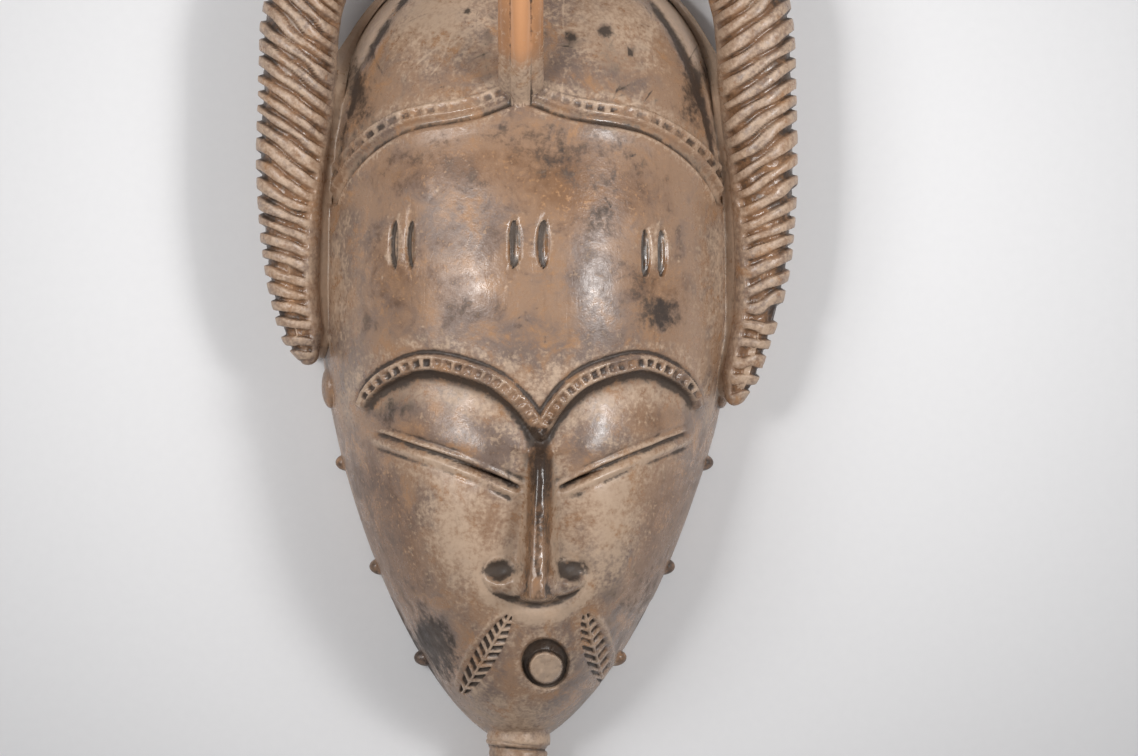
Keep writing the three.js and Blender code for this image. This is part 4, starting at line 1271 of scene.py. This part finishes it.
def make_mask():
    horns = [make_horn(side) for side in (-1, 1)]
    strips = [make_strip(side) for side in (-1, 1)]
    extras = [*horns, *strips, *make_bird(), *make_knobs()]
    mask = make_beard()
    combine(mask, extras, "UNION")
    combine(mask, [make_head()], "UNION")
    combine(mask, [make_hollow(), *make_slits()], "DIFFERENCE")
    thin_out(mask)
    coat(mask)
    mask.name = "carved_mask"
    mask.data.name = "carved_mask"
    mask.data.shade_smooth()
    mask.data.materials.clear()
    return mask


# The finish

class Shade:
    """A shader socket that can be used in a Python expression."""

    def __init__(self, finish, socket):
        self.finish = finish
        self.socket = socket

    def math(self, operation, *values):
        return self.finish.node("ShaderNodeMath", {"operation": operation}, *values)["Value"]

    def __add__(self, other):
        return self.math("ADD", self, other)

    def __radd__(self, other):
        return self.math("ADD", other, self)

    def __sub__(self, other):
        return self.math("SUBTRACT", self, other)

    def __rsub__(self, other):
        return self.math("SUBTRACT", other, self)

    def __mul__(self, other):
        return self.math("MULTIPLY", self, other)

    def __rmul__(self, other):
        return self.math("MULTIPLY", other, self)

    def limit(self):
        return self.finish.node("ShaderNodeClamp", None, self)["Result"]

    def between(self, start, end, low=0.0, high=1.0):
        """A soft rise from low to high while the value goes from start to end."""
        settings = {"interpolation_type": "SMOOTHSTEP"}
        return self.finish.node("ShaderNodeMapRange", settings, self, start, end, low, high)["Result"]


class Finish:
    """A material under construction."""

    def __init__(self, name, display):
        self.material = bpy.data.materials.new(name)
        self.material.use_nodes = True
        self.material.diffuse_color = (*display, 1.0)
        self.tree = self.material.node_tree
        self.tree.nodes.clear()
        self.place = self.node("ShaderNodeTexCoord")["Object"]

    def node(self, kind, settings=None, *values, **named):
        """A node: its settings first, then the values or links of its sockets, in their order or by name."""
        node = self.tree.nodes.new(kind)
        for name, value in (settings or {}).items():
            setattr(node, name, value)
        in_use = [socket for socket in node.inputs if socket.enabled]
        fed = list(zip(in_use, values))
        fed += [(node.inputs[name.replace("_", " ")], value) for name, value in named.items()]
        for socket, value in fed:
            if isinstance(value, Shade):
                self.tree.links.new(value.socket, socket)
            else:
                socket.default_value = value
        return {output.name: Shade(self, output) for output in node.outputs if output.enabled}

    def coat(self, name):
        return self.node("ShaderNodeAttribute", {"attribute_name": name})["Fac"]

    def stretched(self, x, y, z):
        return self.node("ShaderNodeMapping", Vector=self.place, Scale=(x, y, z))["Vector"]

    def noise(self, scale, detail, rough, place=None, distortion=0.0):
        """Soft random values that swing about zero, seldom past one either way."""
        sockets = {"Vector": place or self.place, "Scale": scale, "Detail": detail, "Roughness": rough}
        value = self.node("ShaderNodeTexNoise", Distortion=distortion, **sockets)["Fac"]
        return (value - 0.5) * 4.0

    def blend(self, factor, first, second):
        return self.node("ShaderNodeMix", {"data_type": "RGBA"}, factor, first, second)["Result"]

    def bump(self, height, strength, distance):
        return self.node("ShaderNodeBump", Height=height, Strength=strength, Distance=distance)["Normal"]

    def surface(self, **sockets):
        shader = self.node("ShaderNodeBsdfPrincipled", **sockets)["BSDF"]
        self.node("ShaderNodeOutputMaterial", None, shader)
        return self.material


# The colours of the wood, of what lies on it, of painted shade and highlights, and of the paper under it.
BROWN = (0.295, 0.18, 0.113, 1)
GREY_BROWN = (0.185, 0.13, 0.104, 1)
UMBER = (0.092, 0.052, 0.033, 1)
RUST = (0.18, 0.085, 0.035, 1)
OCHRE = (0.39, 0.205, 0.095, 1)
# Pale dust, also the colour of painted sheen and highlights.
DUST_AND_HIGHLIGHT = (0.525, 0.378, 0.268, 1)
# Near black of the dark stain, also the colour of painted shade.
DARK_STAIN_AND_SHADE = (0.022, 0.0145, 0.011, 1)
BLUE_BLACK = (0.04, 0.037, 0.038, 1)
BARE_WOOD = (0.6, 0.29, 0.135, 1)
PAPER = (0.76, 0.752, 0.755, 1)
PAPER_SHADE = (0.72, 0.712, 0.717, 1)


def patina():
    """Rubbed dark stain over brown wood, with pale dust left in the cuts; the stain coat also lays on
    painted shade, and the dust coat painted sheen and highlights.
    """
    f = Finish("mask_patina", (0.3, 0.2, 0.13))
    dust = f.coat("dust")
    stain = f.coat("stain")
    polish = f.coat("polish")
    warm = f.coat("warm")
    rust = f.coat("rust")
    clouds = f.noise(24.0, 4.0, 0.6)
    drift = f.noise(70.0, 5.0, 0.68, distortion=0.5)
    mottle = f.noise(230.0, 4.0, 0.7)
    specks = f.noise(640.0, 3.0, 0.6)
    pits = f.noise(1500.0, 2.0, 0.5)
    grain = f.noise(260.0, 3.0, 0.6, f.stretched(1.0, 0.16, 1.0))
    scratches = f.noise(900.0, 2.0, 0.5, f.stretched(1.0, 0.07, 1.0))
    tone = f.blend((clouds * 0.8 + drift * 0.6).between(-0.3, 0.5), BROWN, GREY_BROWN)
    ochre = (0.0 - drift * 0.7 - mottle * 0.35 + clouds * 0.2).between(0.05, 0.75)
    tone = f.blend(ochre * 0.65, tone, OCHRE)
    rusty = (rust + drift * 0.4 + mottle * 0.3).between(0.15, 0.9)
    tone = f.blend(rusty * 0.8, tone, RUST)
    blotches = drift * 0.8 + mottle * 0.65 + clouds * 0.35 + specks * 0.25 + rusty * 0.15
    tone = f.blend(blotches.between(0.15, 0.9) * 0.75, tone, UMBER)
    worn = (mottle * 0.5 + specks * 0.8 - drift * 0.3).between(0.2, 0.75) * (0.3 + rusty * 0.6)
    tone = f.blend(worn, tone, OCHRE)
    tone = f.blend(grain.between(0.3, 1.2) * 0.35, tone, UMBER)
    tone = f.blend(warm.limit(), tone, BARE_WOOD)
    patchy = (dust + drift * 0.3 + mottle * 0.4 + specks * 0.35).between(0.2, 1.05)
    tone = f.blend(patchy * (0.76 + mottle * 0.12 + specks * 0.12), tone, DUST_AND_HIGHLIGHT)
    broken = (stain + drift * 0.3 + mottle * 0.4 + specks * 0.25).between(0.3, 1.15)
    tone = f.blend(broken * 0.88, tone, DARK_STAIN_AND_SHADE)
    spots = (mottle * 0.6 + specks * 0.6).between(0.7, 1.1) * (1.0 - patchy * 0.6)
    tone = f.blend(spots * 0.6, tone, BLUE_BLACK)
    tone = f.blend((0.0 - specks * 0.8 - mottle * 0.3).between(0.5, 1.0) * 0.35, tone, DUST_AND_HIGHLIGHT)
    rough = 0.38 + mottle * 0.1 + drift * 0.07 + patchy * 0.1 - polish.limit() * 0.2 + broken * 0.14
    rough = rough.between(0.16, 0.95, 0.16, 0.95)
    height = mottle * 0.15 + specks * 0.12 + pits * 0.05 + grain * 0.07 - scratches.between(0.5, 1.0) * 0.15
    normal = f.bump(height, 0.26, 0.0006)
    return f.surface(Base_Color=tone, Roughness=rough, Normal=normal)


def floor_finish():
    f = Finish("pale_paper", (0.85, 0.85, 0.86))
    fine = f.noise(240.0, 4.0, 0.6)
    tone = f.blend(fine.between(-1.0, 1.0) * 0.3, PAPER, PAPER_SHADE)
    return f.surface(Base_Color=tone, Roughness=0.75, Normal=f.bump(fine, 0.05, 0.0001))


# The floor, the lights and the camera

IMAGE_WIDTH = 1138
IMAGE_HEIGHT = 756
MM_PER_PIXEL = 0.4
MIDDLE_PIXEL = (527, 322)
MEASURED_AT = 40.0
CAMERA_AWAY = 4000.0
SENSOR_WIDTH = 36
FLOOR_WIDTH = 6
# Each light's place and width in metres, and its power.
LIGHTS = {
    "right_softbox": ((0.8, 0.2, 0.95), 0.7, 0.46),
    "right_lamp": ((0.72, 0.16, 0.99), 0.22, 0.26),
    "left_softbox": ((-0.85, 0.2, 0.85), 0.8, 0.6),
    "left_lamp": ((-0.48, 0.16, 1.06), 0.22, 0.22),
}
LIGHT_TARGET = (0, 0.065, 0.0)
LIGHT_SPREAD = 38
SKY_COLOUR = (0.93, 0.94, 0.96, 1)
SKY_STRENGTH = 0.33


def make_floor():
    bpy.ops.mesh.primitive_grid_add(x_subdivisions=8, y_subdivisions=8, size=FLOOR_WIDTH)
    floor = bpy.context.object
    floor.name = "floor"
    floor.data.materials.append(floor_finish())


def make_lights():
    for name, (place, width, power) in LIGHTS.items():
        data = bpy.data.lights.new(name, "AREA")
        data.shape = "SQUARE"
        data.size = width
        data.energy = power
        data.spread = math.radians(LIGHT_SPREAD)
        light = bpy.data.objects.new(name, data)
        light.location = place
        light.rotation_euler = (Vector(LIGHT_TARGET) - Vector(place)).to_track_quat("-Z", "Y").to_euler()
        bpy.context.scene.collection.objects.link(light)
    world = bpy.data.worlds.new("studio")
    world.use_nodes = True
    background = world.node_tree.nodes["Background"]
    background.inputs["Color"].default_value = SKY_COLOUR
    background.inputs["Strength"].default_value = SKY_STRENGTH
    bpy.context.scene.world = world
    bpy.context.scene.view_settings.view_transform = "Standard"


def make_camera():
    data = bpy.data.cameras.new("camera")
    data.sensor_width = SENSOR_WIDTH
    data.lens = data.sensor_width * CAMERA_AWAY / (IMAGE_WIDTH * MM_PER_PIXEL)
    data.clip_end = 20
    camera = bpy.data.objects.new("camera", data)
    x = (IMAGE_WIDTH / 2 - MIDDLE_PIXEL[0]) * MM_PER_PIXEL
    y = (MIDDLE_PIXEL[1] - IMAGE_HEIGHT / 2) * MM_PER_PIXEL
    camera.location = placed(np.array([x, y, MEASURED_AT + CAMERA_AWAY]))
    bpy.context.scene.collection.objects.link(camera)
    bpy.context.scene.camera = camera


mask = make_mask()
mask.data.materials.append(patina())
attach(mask, "root")
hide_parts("mask")
make_floor()
make_lights()
make_camera()
